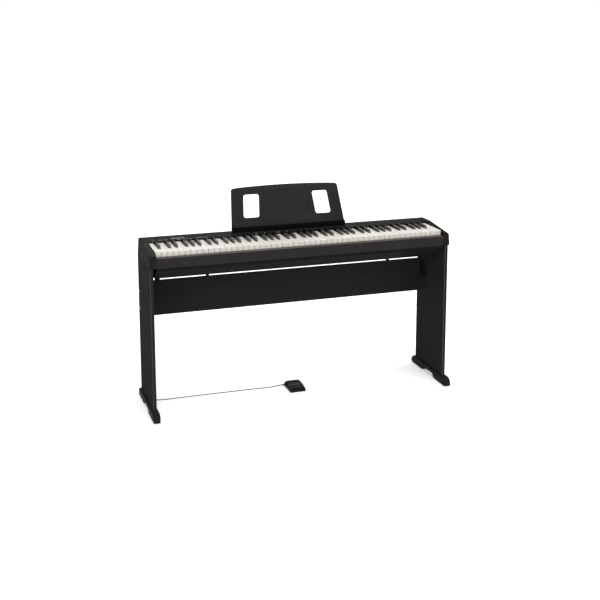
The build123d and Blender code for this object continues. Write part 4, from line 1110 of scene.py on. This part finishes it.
def add_pedal_tread():
    """The ribbed tread, the lugs that take the pin and the peg in the spring."""
    count = 200
    places = [TREAD_FRONT + (TREAD_REAR - TREAD_FRONT) * step / count for step in range(count + 1)]
    bm = bmesh.new()
    loft(bm, [tread_ring(y) for y in places])
    lug = arc((PIVOT_Y, PIVOT_Z), LUG_RADIUS, 180, 360, 12)
    lug += [(PIVOT_Y + LUG_RADIUS, 0.0195), (PIVOT_Y - LUG_RADIUS, 0.0195)]
    for side in (-1, 1):
        x = PEDAL_X + side * (TREAD_HALF - 0.003)
        rows = loft(bm, [[(across, y, z) for y, z in lug] for across in (x - 0.002, x + 0.002)])
        round_edges(bm, edges_of(rows[0]) + edges_of(rows[1]), 0.0004, 2)
    spring_peg(bm, 0.0155, 0.0190)
    add_piece("pedal_tread_moulding", bm, "tread_plastic", "pedal_tread", "pedal_plastic", "pedal_tread")


def turned(bm, profile, centre, axis, sides=28):
    """A closed solid of revolution from (distance along the axis, radius) points."""
    rings = []
    for along, radius in profile:
        ring = []
        for step in range(sides):
            angle = 2 * math.pi * step / sides
            across = (max(radius, 0.00005) * math.cos(angle), max(radius, 0.00005) * math.sin(angle))
            if axis == "X":
                ring.append((along, centre[0] + across[0], centre[1] + across[1]))
            else:
                ring.append((centre[0] + across[0], along, centre[1] + across[1]))
        rings.append(ring)
    loft(bm, rings)


def ribbed(start, end, first, last, ribs, depth):
    """A tapering sleeve with grooves round it, as (distance, radius) points."""
    profile = []
    pitch = (end - start) / ribs
    for rib in range(ribs):
        at = start + rib * pitch
        outer = first + (last - first) * (rib + 0.5) / ribs
        profile += [(at, outer - depth), (at + pitch * 0.30, outer - depth), (at + pitch * 0.38, outer),
                    (at + pitch * 0.92, outer), (at + pitch, outer - depth)]
    return profile


def add_plug():
    """The plug in its socket: a metal pin, a knurled grip and a ribbed boot."""
    tip = PLUG_TIP
    collar = PLUG_COLLAR
    bm = bmesh.new()
    pin = [(tip, 0.0006), (tip + 0.001, 0.0016), (tip + 0.003, 0.0026), (tip + 0.005, 0.0019),
           (tip + 0.007, PIN_RADIUS), (collar + 0.001, PIN_RADIUS)]
    turned(bm, pin, PLUG_CENTRE, "Y")
    add_piece("pedal_plug_pin", bm, "socket_metal", "root", "socket_metal")
    bm = bmesh.new()
    grip = [(collar, 0.0052), (collar + 0.0005, 0.0062), (collar + 0.001, 0.0065)]
    grip += ribbed(collar + 0.002, collar + 0.020, 0.0065, 0.0062, 9, 0.0004)
    grip += ribbed(collar + 0.022, PLUG_END, 0.0056, 0.0029, 6, 0.0006)
    turned(bm, grip, PLUG_CENTRE, "Y")
    return add_piece("pedal_plug_body", bm, "cord_pvc", "root", "socket_plastic", "pedal_plug")


def add_strain_relief():
    """The tapered, ribbed boot where the cord leaves the pedal."""
    left = PEDAL_X - PEDAL_HALF
    bm = bmesh.new()
    sleeve = [(left + 0.003, 0.0022), (left - 0.0002, 0.0022)]
    sleeve += [(left - 0.0002, 0.0034), (left - 0.0014, 0.0034)]
    taper = ribbed(left - 0.0016, RELIEF_END, 0.0032, 0.0023, 4, 0.0005)
    turned(bm, sleeve + taper, RELIEF_CENTRE, "X")
    add_piece("pedal_relief_moulding", bm, "cord_pvc", "root", "cord_pvc", "pedal_strain_relief")


# ---- printed marks

def panel_height(y):
    """Height of the top panel, which rises a little towards the rear."""
    return PANEL_LIP + (PANEL_TOP - PANEL_LIP) * min(1.0, (y - PANEL_EDGE) / (PANEL_BEND - PANEL_EDGE))


def add_mark(bm, x, y, width, depth):
    """A thin printed bar that lies on the sloping panel."""
    corners = rectangle(x - width / 2, y - depth / 2, x + width / 2, y + depth / 2)
    outline = rounded(corners, min(width, depth) * 0.3, 2)
    rings = [[(a, b, panel_height(b) + lift) for a, b in outline] for lift in INK_LEVELS]
    loft(bm, rings)


def add_marks():
    """Plain dashes in place of the panel's labels, beside the buttons."""
    bm = bmesh.new()
    for x, width in BUTTON_MARKS:
        add_mark(bm, x, BUTTON_MARK_Y, width, BUTTON_MARK_DEPTH)
    for start, y, width, depth, pitch, count in DASH_ROWS:
        for dash in range(count):
            add_mark(bm, start + pitch * dash, y, width, depth)
    add_piece("panel_marks", bm, "print_ink", "root", None)


# ---- the studio

def add_area_light(name, place, target, size, power):
    """A rectangular lamp that looks at a point."""
    lamp = bpy.data.lights.new(name, "AREA")
    lamp.shape = "RECTANGLE"
    lamp.size, lamp.size_y = size
    lamp.energy = power
    holder = bpy.data.objects.new(name, lamp)
    holder.location = place
    holder.rotation_euler = (Vector(target) - Vector(place)).to_track_quat("-Z", "Y").to_euler()
    bpy.context.scene.collection.objects.link(holder)


def add_floor():
    """A wide pale floor that the object stands on."""
    bm = bmesh.new()
    bmesh.ops.create_grid(bm, x_segments=8, y_segments=8, size=FLOOR_HALF)
    mesh = bpy.data.meshes.new("studio_floor")
    bm.to_mesh(mesh)
    bm.free()
    mesh.materials.append(materials["studio_floor"])
    floor = bpy.data.objects.new("studio_floor", mesh)
    floor.location.z = FLOOR_LEVEL
    bpy.context.scene.collection.objects.link(floor)


def add_lights():
    """A soft overhead sun and two soft boxes."""
    sun = bpy.data.lights.new("overhead", "SUN")
    sun.energy = SUN_STRENGTH
    sun.angle = math.radians(SUN_SPREAD)
    holder = bpy.data.objects.new("overhead", sun)
    holder.rotation_euler = [math.radians(turn) for turn in SUN_TURN]
    bpy.context.scene.collection.objects.link(holder)
    add_area_light("back_box", (0.3, 3.2, 2.6), (0.0, 0.0, 0.65), (3.6, 0.8), BOX_POWER)
    add_area_light("front_box", (-2.2, -3.6, 2.2), (0.0, 0.0, 0.5), (2.4, 1.6), BOX_POWER)


def add_room():
    """A room that is white at the horizon and below it, and dim above."""
    world = bpy.data.worlds.new("room")
    world.use_nodes = True
    nodes = world.node_tree.nodes
    links = world.node_tree.links
    place = nodes.new("ShaderNodeTexCoord")
    split = nodes.new("ShaderNodeSeparateXYZ")
    links.new(place.outputs["Generated"], split.inputs["Vector"])
    ramp = nodes.new("ShaderNodeValToRGB")
    ramp.color_ramp.interpolation = "EASE"
    for stop, (height, grey) in zip(ramp.color_ramp.elements, ROOM_STOPS):
        stop.position = height
        stop.color = (grey, grey, grey, 1.0)
    links.new(split.outputs["Z"], ramp.inputs["Fac"])
    links.new(ramp.outputs["Color"], nodes["Background"].inputs["Color"])
    nodes["Background"].inputs["Strength"].default_value = 1.0
    bpy.context.scene.world = world
    bpy.context.scene.view_settings.view_transform = "Standard"


def add_camera():
    """The camera at the photograph's place and angle."""
    lens = bpy.data.cameras.new("camera")
    lens.lens = CAMERA_LENS
    lens.sensor_width = CAMERA_SENSOR
    lens.shift_y = CAMERA_SHIFT
    camera = bpy.data.objects.new("camera", lens)
    camera.location = CAMERA_PLACE
    camera.rotation_euler = (math.radians(90 - CAMERA_PITCH), 0, -math.radians(CAMERA_YAW))
    bpy.context.scene.collection.objects.link(camera)
    bpy.context.scene.camera = camera


add_camera()
add_floor()
add_lights()
add_room()
lead = add_cord()
plug = add_plug()
paint_cad_nodes()
add_keys()
add_rest_plate()
add_rest_ledge()
add_feet()
add_pedal_base()
add_pedal_tread()
add_strain_relief()
add_marks()
